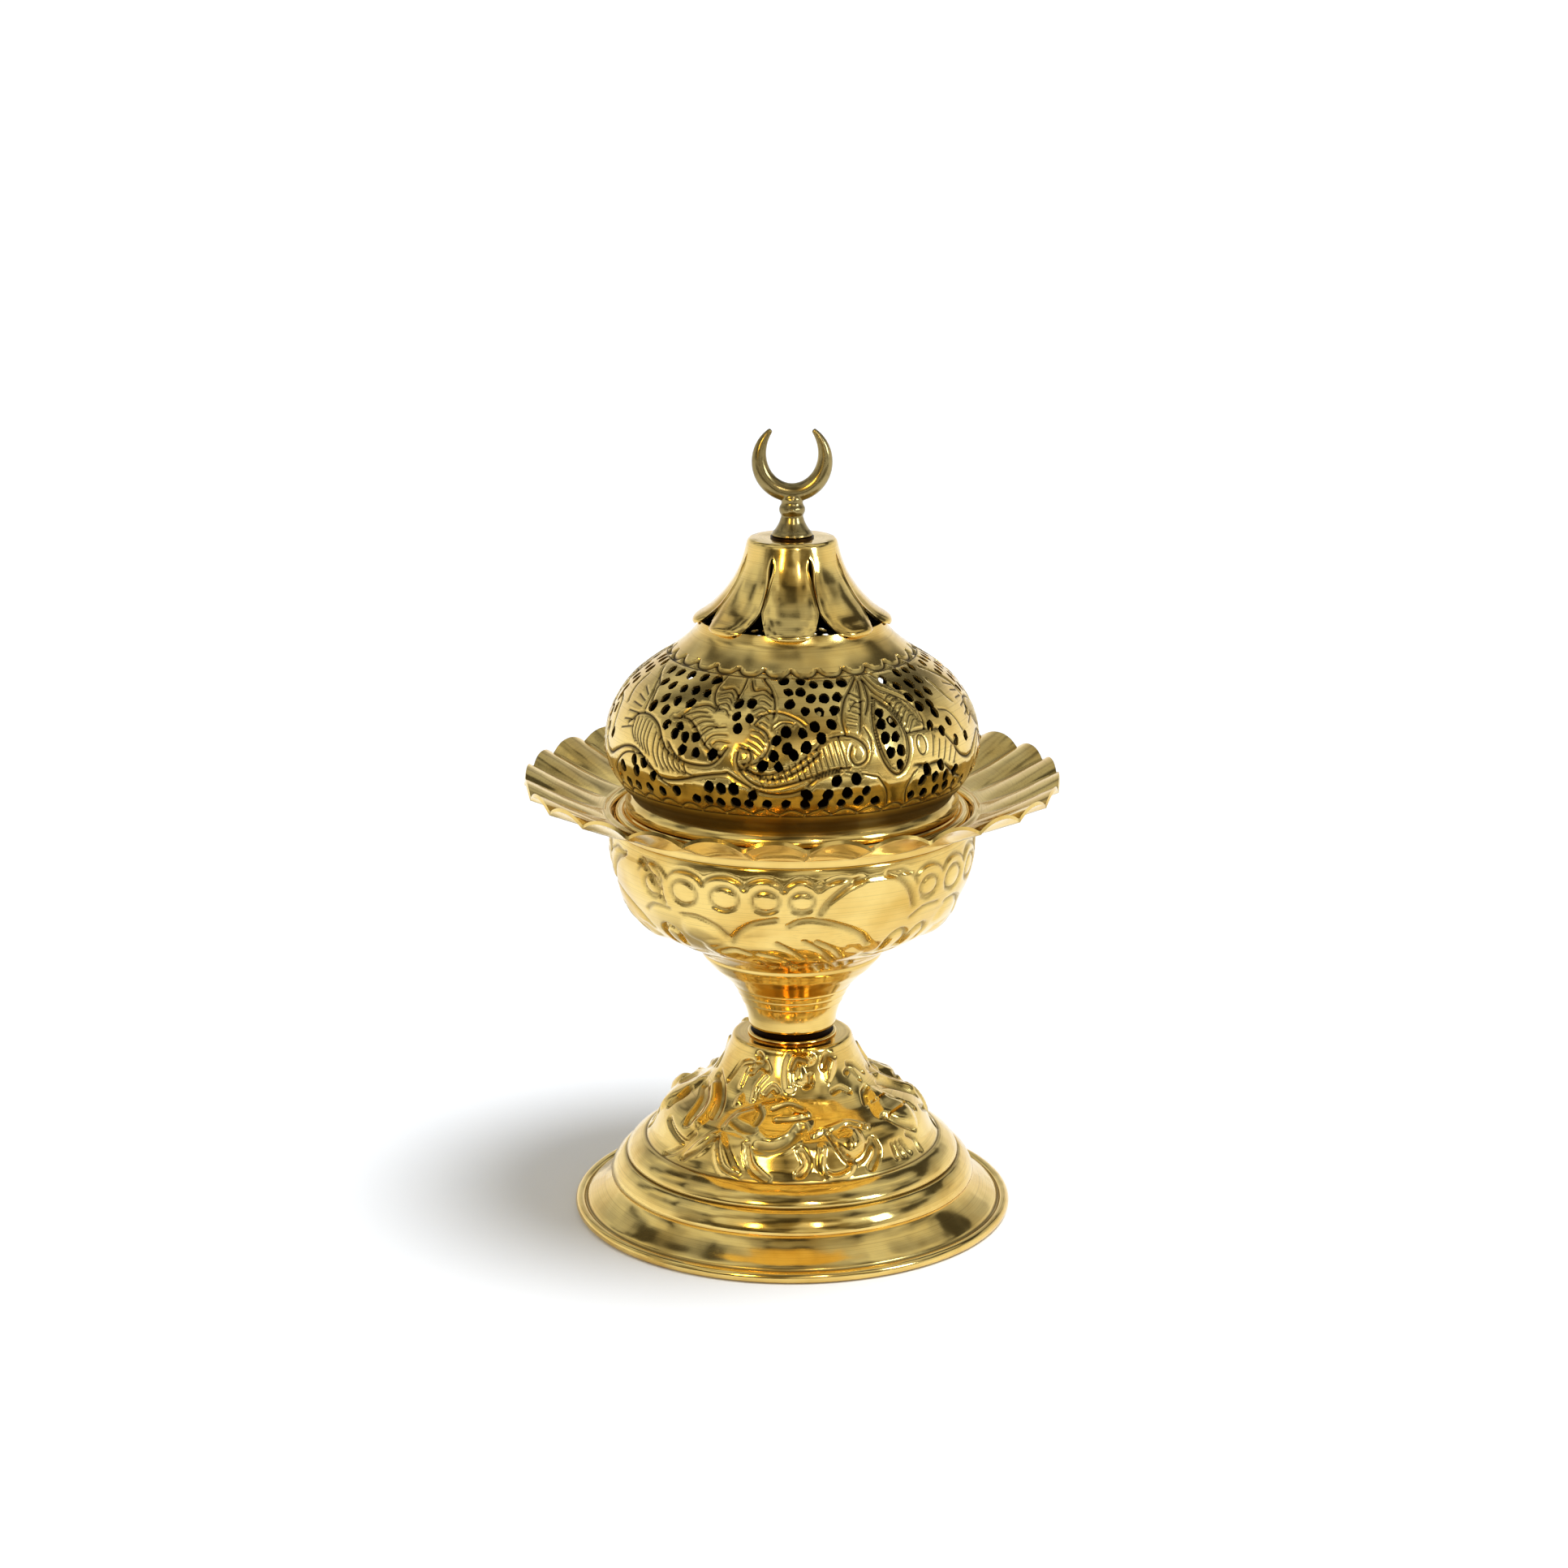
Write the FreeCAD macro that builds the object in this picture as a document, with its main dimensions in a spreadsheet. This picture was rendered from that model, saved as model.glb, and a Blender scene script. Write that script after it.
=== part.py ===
import FreeCAD, Part
import math
import os
import re

import Sketcher

# Incense burner (table censer) of spun, pressed and cast brass, in millimetres.
#
# The origin is the centre of the ring that the foot stands on, and +Z is up.
# Every piece is drawn about its own vertical axis from its own seat and then
# lifted to its place in the stack:
#
#   foot, neck_spacer, neck, bowl     clamped together by tie_bolt
#   plate                             lies on the bowl's turned-in rim
#   charcoal_cup                      hangs by its rolled rim in the plate's hole
#   lid_seat_ring, lid_dome,          the lid, which stands on the cup's ledge;
#   petal_cap, finial                 the finial's stud clamps the cap's crown

SIZES = {
    # foot: a trumpet spun from sheet, with a rolled bead where it stands
    "foot_radius": (58.6, "outermost radius, over the rolled bead"),
    "foot_height": (48.2, "from the table to the top of the crown"),
    "foot_wall": (0.9, "sheet thickness"),
    "foot_bead": (1.5, "radius of the bead's section"),
    "foot_bead_flat": (0.1, "depth faced off the bead, so that it stands flat"),
    "foot_step_radius": (45.9, "radius where the skirt meets the step"),
    "foot_step_height": (13.0, "height of the step"),
    "foot_step": (1.0, "how far the step goes in and up"),
    "foot_waist_radius": (36.9, "radius above the lower cove"),
    "foot_waist_height": (23.8, "height above the lower cove"),
    "foot_brow_radius": (33.4, "radius where the bulge turns into the upper cove"),
    "foot_brow_height": (28.8, "height where the bulge turns into the upper cove"),
    "foot_crown_radius": (16.1, "radius of the flat crown"),
    "foot_crown_edge": (0.9, "bevel round the crown"),
    # neck spacer: a turned ring that leaves a dark gap under the neck
    "spacer_radius": (11.8, "radius of the flange"),
    "spacer_flange": (0.8, "thickness of the flange"),
    "spacer_boss_radius": (10.4, "radius of the recessed boss"),
    "spacer_height": (2.4, "from the foot's crown to the neck"),
    # neck
    "neck_height": (21.4, "from the spacer to the bowl"),
    "neck_base_radius": (11.5, "radius at the bottom"),
    "neck_base_edge": (0.6, "bevel at the bottom"),
    "neck_top_radius": (24.1, "radius of the mouth, under the bowl"),
    "neck_lip": (0.5, "height of the upright lip at the mouth"),
    "neck_wall": (0.9, "sheet thickness"),
    # bowl
    "bowl_height": (35.3, "from the neck to the plate"),
    "bowl_floor_radius": (24.2, "radius of the flat floor"),
    "bowl_shelf_radius": (31.5, "radius where the floor's cove turns into the side"),
    "bowl_shelf_height": (5.0, "height where the floor's cove turns into the side"),
    "bowl_belly_height": (28.5, "height of the widest place"),
    "bowl_bulge": (0.9, "how far the belly stands out past the rim"),
    "bowl_wall": (0.9, "sheet thickness"),
    "mouth_radius": (44.6, "radius of the bowl's mouth; plate, cup and lid follow it"),
    "rim_width": (2.4, "width of the bowl's turned-in rim"),
    # plate
    "plate_radius": (70.0, "radius of the scalloped edge"),
    "plate_wall": (0.9, "sheet thickness"),
    "plate_lap": (0.6, "how far the plate's seat reaches in past the bowl's mouth"),
    "plate_collar_height": (3.6, "height of the collar round the cup's rim"),
    "plate_rise": (10.7, "height of the flutes' valleys at the edge"),
    "flute_depth": (2.5, "height of a ridge over the valleys at the edge"),
    "flute_count": (28, "number of ridges"),
    # charcoal cup
    "cup_depth": (24.2, "from the cup's seat down to its floor"),
    "cup_wall": (0.8, "sheet thickness"),
    "cup_rim": (1.3, "radius of the rolled rim's section"),
    "cup_rim_clearance": (0.5, "between the rolled rim and the plate's collar"),
    "cup_neck_clearance": (1.6, "between the cup's side and the plate's hole"),
    "cup_floor_radius": (20.0, "radius of the flat floor"),
    "cup_ledge_height": (2.8, "from the cup's seat to the ledge that the lid stands on"),
    # lid
    "skirt_clearance": (0.4, "between the lid's skirt and the cup's side"),
    "skirt_depth": (4.0, "how far the skirt reaches into the cup"),
    "skirt_wall": (0.8, "thickness of the skirt"),
    "hem_height": (4.0, "from the cup's ledge to the dome"),
    "hem_width": (1.8, "how far the hem stands out past the skirt"),
    "dome_inset": (1.0, "from the hem's outermost radius in to the dome's neck"),
    "dome_bulge": (7.0, "how far the belly stands out past the dome's neck"),
    "dome_belly_height": (13.0, "height of the widest place"),
    "dome_shoulder_inset": (12.9, "from the belly in to where the collar begins"),
    "dome_shoulder_height": (34.3, "height where the collar begins"),
    "dome_height": (46.0, "from the hem to the top of the collar"),
    "dome_wall": (0.8, "sheet thickness"),
    "dome_foot": (0.5, "height of the upright edge that stands on the hem"),
    "collar_radius": (24.1, "radius of the collar's upright lip"),
    "collar_lip": (2.0, "height of the collar's upright lip"),
    "hole_radius": (1.25, "radius of a pierced hole"),
    "hole_count": (24, "holes in one row"),
    "hole_rows": (3, "rows of holes"),
    "hole_first_tilt": (8.0, "angle of the lowest row above the dome's base, degrees"),
    "hole_row_tilt": (12.0, "angle from one row to the next, degrees"),
    # petal cap
    "cap_lap": (1.5, "how far the petals reach down over the collar's lip"),
    "cap_height": (22.4, "from the petals' ends to the crown"),
    "cap_crown_radius": (11.2, "radius of the flat crown"),
    "cap_crown_edge": (0.7, "height of the crown's bevel"),
    "cap_wall": (0.8, "sheet thickness"),
    "petal_count": (8, "number of petals"),
    "slit_width": (0.8, "width of the slit between two petals"),
    "slit_top": (2.4, "from the crown down to the top of a slit"),
    "notch_width": (6.0, "width of the gap at the foot of a slit"),
    "notch_height": (7.0, "height of the gap at the foot of a slit"),
    "slit_turn": (21.0, "angle from +X to the first slit, degrees"),
    # finial
    "finial_base_radius": (5.3, "radius of the base"),
    "finial_waist_radius": (3.0, "radius of the stem under the knop"),
    "finial_waist_height": (4.7, "height of the stem under the knop"),
    "knop_radius": (3.35, "radius of the knop"),
    "stem_height": (8.7, "from the base to the underside of the crescent"),
    "crescent_radius": (10.4, "outer radius of the crescent"),
    "crescent_root": (2.3, "radius of the crescent's section at the bottom"),
    "crescent_tip": (1.15, "radius of the crescent's section at the tips"),
    "crescent_sweep": (143.6, "angle from the bottom to a tip, degrees"),
    # fasteners
    "bolt_radius": (2.5, "radius of the tie bolt"),
    "bolt_head_radius": (4.6, "radius of the tie bolt's pan head"),
    "bolt_head_height": (2.6, "height of the tie bolt's pan head"),
    "bolt_clearance": (0.25, "round the tie bolt in every hole"),
    "bolt_washer_radius": (6.5, "radius of the two washers on the tie bolt"),
    "bolt_washer_height": (0.8, "thickness of the two washers on the tie bolt"),
    "bolt_nut_size": (9.0, "corner-to-corner width of the tie bolt's nut"),
    "bolt_nut_height": (4.0, "height of the tie bolt's nut"),
    "bolt_end": (1.2, "how far the tie bolt stands out of its nut"),
    "stud_radius": (1.5, "radius of the finial's stud"),
    "stud_clearance": (0.2, "round the stud in every hole"),
    "finial_washer_radius": (5.6, "radius of the washer under the finial"),
    "finial_washer_height": (0.4, "thickness of the washer under the finial"),
    "cap_washer_radius": (4.0, "radius of the washer inside the crown"),
    "cap_washer_height": (0.6, "thickness of the washer inside the crown"),
    "stud_nut_size": (6.2, "corner-to-corner width of the stud's nut"),
    "stud_nut_height": (2.4, "height of the stud's nut"),
    "stud_end": (0.9, "how far the stud stands out of its nut"),
}

# Radii and heights that several pieces share, as formulas over the sizes above.
BOLT_HOLE = "bolt_radius + bolt_clearance"
STUD_HOLE = "stud_radius + stud_clearance"
RIM_RADIUS = "mouth_radius + rim_width"
CUP_RADIUS = "mouth_radius - plate_lap - cup_neck_clearance"
SKIRT_RADIUS = "mouth_radius - plate_lap - cup_neck_clearance - cup_wall - skirt_clearance"
DOME_NECK = f"{SKIRT_RADIUS} + hem_width - dome_inset"
DOME_BELLY = f"{DOME_NECK} + dome_bulge"

# Where each seat in the stack lies above the table.
SPACER_SEAT = "foot_height"
NECK_SEAT = "foot_height + spacer_height"
BOWL_SEAT = f"{NECK_SEAT} + neck_height"
PLATE_SEAT = f"{BOWL_SEAT} + bowl_height"
CUP_SEAT = f"{PLATE_SEAT} + plate_wall"
LID_SEAT = f"{CUP_SEAT} + cup_ledge_height"
DOME_SEAT = f"{LID_SEAT} + hem_height"
CAP_SEAT = f"{DOME_SEAT} + dome_height - cap_lap"
CAP_CROWN = f"{CAP_SEAT} + cap_height"

doc = FreeCAD.newDocument("incense_burner")
sheet = doc.addObject("Spreadsheet::Sheet", "Sizes")
for row, (alias, (value, meaning)) in enumerate(SIZES.items(), start=1):
    sheet.set(f"A{row}", meaning)
    sheet.set(f"B{row}", str(value))
    sheet.setAlias(f"B{row}", alias)
doc.recompute()

SUBPARTS = []


def formula(text):
    """The text as an expression, with every alias pointing at the sheet."""
    return re.sub(r"[a-z_]+", lambda word: f"Sizes.{word[0]}" if word[0] in SIZES else word[0], text)


def size(text):
    """The present value of a formula."""
    return float(sheet.evalExpression(formula(text)))


def bind(thing, **properties):
    """Bind properties of a document object to formulas over the sheet."""
    for name, text in properties.items():
        thing.setExpression(name, formula(text))
    return thing


def place(thing, label, seat="0"):
    """Name a finished sub-part and lift it to its seat."""
    thing.Label = label
    thing.setExpression("Placement.Base.z", formula(seat))
    SUBPARTS.append(thing)
    return thing


def share(start, end, part):
    """The formula of a place that lies a given part of the way between two others."""
    return f"({start}) + {part} * (({end}) - ({start}))"


def pin_point(sketch, geometry, vertex, corner):
    """Hold a vertex at a corner's radius and height."""
    for kind, text in (("DistanceX", corner[0]), ("DistanceY", corner[1])):
        if abs(size(text)) < 1e-9:
            axis = -2 if kind == "DistanceX" else -1
            sketch.addConstraint(Sketcher.Constraint("PointOnObject", geometry, vertex, axis))
        else:
            held = Sketcher.Constraint(kind, -1, 1, geometry, vertex, size(text))
            index = sketch.addConstraint(held)
            sketch.setExpression(f"Constraints[{index}]", formula(text))


def draw(sketch, corners, closed=True):
    """Draw an outline through corners (radius, height), each a pair of formulas.

    A corner with two more numbers is reached by an arc, which passes the point
    that lies those parts of the way along the radius and the height.
    """
    ends = corners[1:] + corners[:1] if closed else corners[1:]
    for start, end in zip(corners, ends):
        first = FreeCAD.Vector(size(start[0]), size(start[1]), 0)
        last = FreeCAD.Vector(size(end[0]), size(end[1]), 0)
        if len(end) == 2:
            edge = sketch.addGeometry(Part.LineSegment(first, last), False)
        else:
            crown = (share(start[0], end[0], end[2]), share(start[1], end[1], end[3]))
            middle = FreeCAD.Vector(size(crown[0]), size(crown[1]), 0)
            edge = sketch.addGeometry(Part.Arc(first, middle, last), False)
            guide = sketch.addGeometry(Part.Point(middle), True)
            pin_point(sketch, guide, 1, crown)
            sketch.addConstraint(Sketcher.Constraint("PointOnObject", guide, 1, edge))
        swapped = sketch.getPoint(edge, 1).distanceToPoint(first) > 1e-6
        pin_point(sketch, edge, 2 if swapped else 1, start)
        pin_point(sketch, edge, 1 if swapped else 2, end)


def spun(name, line, wall):
    """A shell spun from sheet: the line of its outer face, given its thickness inwards.

    The thickness lies on the left of a line drawn upwards, and on the right of one drawn
    downwards, which keeps it towards the axis.
    """
    side = 1 if size(line[-1][1]) > size(line[0][1]) else -1
    sketch = doc.addObject("Sketcher::SketchObject", f"{name}_line")
    sketch.Placement = FreeCAD.Placement(FreeCAD.Vector(), FreeCAD.Rotation(FreeCAD.Vector(1, 0, 0), 90))
    draw(sketch, line, closed=False)
    section = doc.addObject("Part::Offset2D", f"{name}_section")
    section.Source = sketch
    section.Mode = "Skin"
    section.Fill = True
    bind(section, Value=f"{side} * ({wall})")
    shell = doc.addObject("Part::Revolution", f"{name}_shell")
    shell.Source = section
    shell.Axis = FreeCAD.Vector(0, 0, 1)
    shell.Angle = 360
    shell.Solid = True
    return shell


def origin_plane(body, role):
    """One of a body's own origin planes."""
    return next(plane for plane in body.Origin.OriginFeatures if plane.Role == role)


def body_sketch(body, name):
    """A sketch on the body's XZ plane: radius to the right, height up."""
    sketch = body.newObject("Sketcher::SketchObject", name)
    sketch.AttachmentSupport = [(origin_plane(body, "XZ_Plane"), "")]
    sketch.MapMode = "FlatFace"
    return sketch


def turned(name, corners):
    """A solid turned about the Z axis from a closed outline."""
    body = doc.addObject("PartDesign::Body", name)
    sketch = body_sketch(body, f"{name}_outline")
    draw(sketch, corners)
    solid = body.newObject("PartDesign::Revolution", f"{name}_turned")
    solid.Profile = sketch
    solid.ReferenceAxis = (sketch, ["V_Axis"])
    solid.Angle = 360
    sketch.Visibility = False
    return body


def ring(name, inner, outer, bottom, top):
    """A plain turned ring."""
    return turned(name, [(inner, bottom), (outer, bottom), (outer, top), (inner, top)])


def fuse(name, *pieces):
    """One solid from several."""
    joined = doc.addObject("Part::MultiFuse", name)
    joined.Shapes = list(pieces)
    return joined


def cut(name, base, tool):
    """A solid less another."""
    left = doc.addObject("Part::Cut", name)
    left.Base = base
    left.Tool = tool
    return left


def torus(name, radius, section, height):
    """A round ring of wire."""
    bead = bind(doc.addObject("Part::Torus", name), Radius1=radius, Radius2=section)
    bead.setExpression("Placement.Base.z", formula(height))
    return bead


def nut(name, width, height, hole):
    """A hexagon nut."""
    blank = bind(doc.addObject("Part::Prism", f"{name}_blank"), Circumradius=f"{width} / 2", Height=height)
    bore = bind(doc.addObject("Part::Cylinder", f"{name}_bore"), Radius=hole, Height=height)
    return cut(name, blank, bore)


def build_foot():
    """Trumpet foot with its step, bulge and flat crown."""
    bead_top = "2 * foot_bead - foot_bead_flat"
    shell = spun("foot", [
        ("foot_radius - foot_bead", f"{bead_top} - foot_bead * 0.4"),
        ("foot_step_radius", "foot_step_height", 0.68, 0.48),
        ("foot_step_radius - foot_step", "foot_step_height + foot_step"),
        ("foot_waist_radius", "foot_waist_height", 0.66, 0.47),
        ("foot_brow_radius", "foot_brow_height", 0.34, 0.54),
        ("foot_crown_radius", "foot_height - 2 * foot_crown_edge", 0.66, 0.43),
        ("foot_crown_radius", "foot_height - foot_crown_edge"),
        ("foot_crown_radius - foot_crown_edge", "foot_height"),
        (BOLT_HOLE, "foot_height"),
    ], "foot_wall")
    bead = torus("foot_bead_wire", "foot_radius - foot_bead", "foot_bead", "foot_bead - foot_bead_flat")
    blank = fuse("foot_blank", shell, bead)
    facing = bind(doc.addObject("Part::Cylinder", "foot_facing"), Radius="foot_radius + 1", Height="foot_bead")
    facing.setExpression("Placement.Base.z", formula("-foot_bead"))
    place(cut("foot_cut", blank, facing), "foot")


def build_spacer():
    """Stepped ring between foot and neck."""
    place(turned("spacer", [
        (BOLT_HOLE, "0"),
        ("spacer_radius", "0"),
        ("spacer_radius", "spacer_flange"),
        ("spacer_boss_radius", "spacer_flange"),
        ("spacer_boss_radius", "spacer_height"),
        (BOLT_HOLE, "spacer_height"),
    ]), "neck_spacer", SPACER_SEAT)


def build_neck():
    """Trumpet neck, closed at the bottom and open under the bowl."""
    place(spun("neck", [
        ("neck_top_radius", "neck_height"),
        ("neck_top_radius", "neck_height - neck_lip"),
        ("neck_top_radius - 3.5", "neck_height - neck_lip - 4.0", 0.45, 0.38),
        ("neck_base_radius", "neck_base_edge", 0.72, 0.42),
        ("neck_base_radius - neck_base_edge", "0"),
        (BOLT_HOLE, "0"),
    ], "neck_wall"), "neck", NECK_SEAT)


def build_bowl():
    """Round bowl with a turned-in rim that the plate lies on."""
    place(spun("bowl", [
        ("mouth_radius", "bowl_height"),
        (RIM_RADIUS, "bowl_height"),
        (f"{RIM_RADIUS} + bowl_bulge", "bowl_belly_height", 0.74, 0.43),
        (f"{RIM_RADIUS} - 3.8", "bowl_belly_height / 2", 0.34, 0.59),
        ("bowl_shelf_radius", "bowl_shelf_height", 0.4, 0.56),
        ("bowl_floor_radius", "0", 0.44, 0.38),
        (BOLT_HOLE, "0"),
    ], "bowl_wall"), "bowl", BOWL_SEAT)


def fluted_brim():
    """The plate's brim: one pressed ridge after another, from the collar to the edge."""
    wall = size("plate_wall")
    inner = size(f"{RIM_RADIUS} + 2 * plate_wall + 0.2")
    outer = size("plate_radius")
    low = size("plate_collar_height") - size("plate_wall") / 2
    valley = size("plate_rise")
    crest = valley + size("flute_depth")
    count = int(size("flute_count"))

    def spot(radius, turn, height):
        angle = 2 * math.pi * turn / count
        return FreeCAD.Vector(radius * math.cos(angle), radius * math.sin(angle), height)

    def bow(radius, first, edge, middle):
        return Part.Arc(spot(radius, first, edge), spot(radius, first + 0.5, middle), spot(radius, first + 1, edge)).toShape()

    faces = []
    for flute in range(count):
        inside = [bow(inner, flute, low - drop, low - drop) for drop in (0, wall)]
        outside = [bow(outer, flute, valley - drop, crest - drop) for drop in (0, wall)]
        for first, second in ((0, 0), (1, 1)):
            faces.append(Part.makeRuledSurface(inside[first], outside[second]))
        faces.append(Part.makeRuledSurface(*inside))
        faces.append(Part.makeRuledSurface(*outside))
    brim = doc.addObject("Part::Feature", "plate_brim")
    shell = Part.makeShell(faces)
    shell.sewShape()
    solid = Part.makeSolid(shell)
    if solid.Volume < 0:
        solid.reverse()
    brim.Shape = solid
    return brim


def build_plate():
    """Fluted drip plate with a flat seat and a low collar round the cup's rim."""
    seat = turned("plate_seat", [
        ("mouth_radius - plate_lap", "0"),
        (f"{RIM_RADIUS} + plate_wall", "0"),
        (f"{RIM_RADIUS} + plate_wall", "plate_collar_height - 1.5 * plate_wall"),
        (f"{RIM_RADIUS} + 3 * plate_wall", "plate_collar_height - 1.5 * plate_wall"),
        (f"{RIM_RADIUS} + 3 * plate_wall", "plate_collar_height - 0.5 * plate_wall"),
        (f"{RIM_RADIUS} + 1.4 * plate_wall", "plate_collar_height", 0.5, 0.7),
        (RIM_RADIUS, "plate_collar_height - plate_wall", 0.6, 0.3),
        (RIM_RADIUS, "plate_wall"),
        ("mouth_radius - plate_lap", "plate_wall"),
    ])
    place(fuse("plate_joined", seat, fluted_brim()), "plate", PLATE_SEAT)


def build_cup():
    """Charcoal cup with a rolled rim outside and a ledge for the lid inside it."""
    rolled = f"{RIM_RADIUS} - cup_rim_clearance - cup_rim"
    shell = spun("cup", [
        (rolled, "cup_ledge_height - cup_wall"),
        (CUP_RADIUS, "cup_ledge_height - cup_wall"),
        (CUP_RADIUS, "-cup_depth * 0.2"),
        ("cup_floor_radius", "-cup_depth", 0.31, 0.67),
        ("0", "-cup_depth"),
    ], "cup_wall")
    rim = torus("cup_rim_wire", rolled, "cup_rim", "cup_rim")
    place(fuse("cup_joined", shell, rim), "charcoal_cup", CUP_SEAT)


def build_seat_ring():
    """Hem of the lid, with the skirt that centres it in the cup."""
    hem = f"{SKIRT_RADIUS} + hem_width"
    bore = f"{SKIRT_RADIUS} - skirt_wall"
    place(turned("seat_ring", [
        (bore, "-skirt_depth"),
        (SKIRT_RADIUS, "-skirt_depth"),
        (SKIRT_RADIUS, "0"),
        (f"{hem} - 0.4", "0"),
        (hem, "0.4"),
        (hem, "hem_height * 0.4"),
        (f"{hem} - dome_inset", "hem_height - 0.4", 0.35, 0.6),
        (f"{hem} - dome_inset", "hem_height"),
        (bore, "hem_height"),
    ]), "lid_seat_ring", LID_SEAT)


def pierced_holes():
    """Punches for the dome: staggered rows, all aimed at the middle of its base."""
    punches = []
    count = int(size("hole_count"))
    reach = size(DOME_BELLY) * 0.6
    for row in range(int(size("hole_rows"))):
        tilt = math.radians(size("hole_first_tilt") + row * size("hole_row_tilt"))
        for hole in range(count):
            turn = 2 * math.pi * (hole + 0.25 + row % 2 / 2) / count
            aim = FreeCAD.Vector(
                math.cos(turn) * math.cos(tilt), math.sin(turn) * math.cos(tilt), math.sin(tilt))
            punches.append(Part.makeCylinder(size("hole_radius"), reach, aim * reach, aim))
    tool = doc.addObject("Part::Feature", "dome_punches")
    tool.Shape = Part.makeCompound(punches)
    return tool


def build_dome():
    """Pierced dome, drawn in at the top to a smooth collar with an upright lip."""
    shell = spun("dome", [
        (DOME_NECK, "0"),
        (DOME_NECK, "dome_foot"),
        (DOME_BELLY, "dome_belly_height", 0.7, 0.43),
        (f"{DOME_BELLY} - dome_shoulder_inset", "dome_shoulder_height", 0.2326, 0.545),
        ("collar_radius", "dome_height - collar_lip", 0.55, 0.41),
        ("collar_radius", "dome_height"),
    ], "dome_wall")
    place(cut("dome_cut", shell, pierced_holes()), "lid_dome", DOME_SEAT)


def build_petal_cap():
    """Petal cap: a flared cap that slits divide into petals, lapped over the collar's lip."""
    lip = "collar_radius + cap_wall"
    cap = turned("cap", [
        ("collar_radius", "0"),
        (lip, "0"),
        (lip, "cap_lap * 0.7"),
        ("cap_crown_radius + 0.4", "cap_height - cap_crown_edge", 0.69, 0.46),
        ("cap_crown_radius", "cap_height"),
        (STUD_HOLE, "cap_height"),
        (STUD_HOLE, "cap_height - cap_wall"),
        ("cap_crown_radius - cap_wall * 0.6", "cap_height - cap_wall"),
        ("collar_radius", "cap_lap", 0.31, 0.56),
    ])
    slit = body_sketch(cap, "cap_slit")
    half = "slit_width / 2"
    draw(slit, [
        ("notch_width / 2", "-cap_wall"),
        (half, "notch_height"),
        (half, "cap_height - slit_top"),
        (f"-{half}", "cap_height - slit_top"),
        (f"-{half}", "notch_height"),
        ("-notch_width / 2", "-cap_wall"),
    ])
    pocket = cap.newObject("PartDesign::Pocket", "cap_slit_cut")
    pocket.Profile = slit
    pocket.Type = "ThroughAll"
    doc.recompute()
    pattern = cap.newObject("PartDesign::PolarPattern", "cap_slits")
    pattern.Originals = [pocket]
    pattern.Axis = (slit, ["V_Axis"])
    pattern.Angle = 360
    pattern.setExpression("Occurrences", formula("petal_count"))
    cap.Tip = pattern
    cap.setExpression("Placement.Rotation.Angle", formula("slit_turn - 90"))
    cap.Placement.Rotation.Axis = FreeCAD.Vector(0, 0, 1)
    place(cap, "petal_cap", CAP_SEAT)


def crescent():
    """Crescent of round section: its outer edge is a circle, and it thins towards the tips."""
    root = size("crescent_root")
    tip = size("crescent_tip")
    outer = size("crescent_radius")
    sweep = math.radians(size("crescent_sweep"))
    centre = FreeCAD.Vector(0, 0, size("stem_height") + outer)

    def station(turn):
        section = tip + (root - tip) * (1 - abs(turn / sweep) ** 3.3)
        reach = outer - section
        spot = centre + FreeCAD.Vector(reach * math.sin(turn), 0, -reach * math.cos(turn))
        return section, spot, FreeCAD.Vector(math.cos(turn), 0, math.sin(turn))

    steps = 12
    stations = [station(sweep * (2 * step / steps - 1)) for step in range(steps + 1)]
    circles = [Part.Wire(Part.makeCircle(section, spot, along)) for section, spot, along in stations]
    horn = Part.makeLoft(circles, True)
    ends = [Part.makeSphere(section, spot) for section, spot, along in (stations[0], stations[-1])]
    shape = doc.addObject("Part::Feature", "finial_crescent")
    shape.Shape = horn.fuse(ends)
    return shape


def build_finial():
    """Cast crescent on a flared stem, with the threaded stud below it."""
    stud_length = "cap_wall + cap_washer_height + stud_nut_height + stud_end + finial_washer_height"
    stem = turned("finial_stem", [
        ("0", f"-({stud_length})"),
        ("stud_radius", f"-({stud_length})"),
        ("stud_radius", "0"),
        ("finial_base_radius", "0"),
        ("finial_base_radius", "finial_waist_height * 0.15"),
        ("finial_waist_radius", "finial_waist_height", 0.72, 0.4),
        ("finial_waist_radius - 0.1", "stem_height * 0.64"),
        ("knop_radius", "stem_height * 0.8", 0.7, 0.4),
        ("finial_waist_radius - 0.3", "stem_height", 0.3, 0.6),
        ("finial_waist_radius * 0.7", "stem_height + crescent_root"),
        ("0", "stem_height + crescent_root"),
    ])
    place(fuse("finial_joined", stem, crescent()), "finial", f"{CAP_CROWN} + finial_washer_height")


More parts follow.
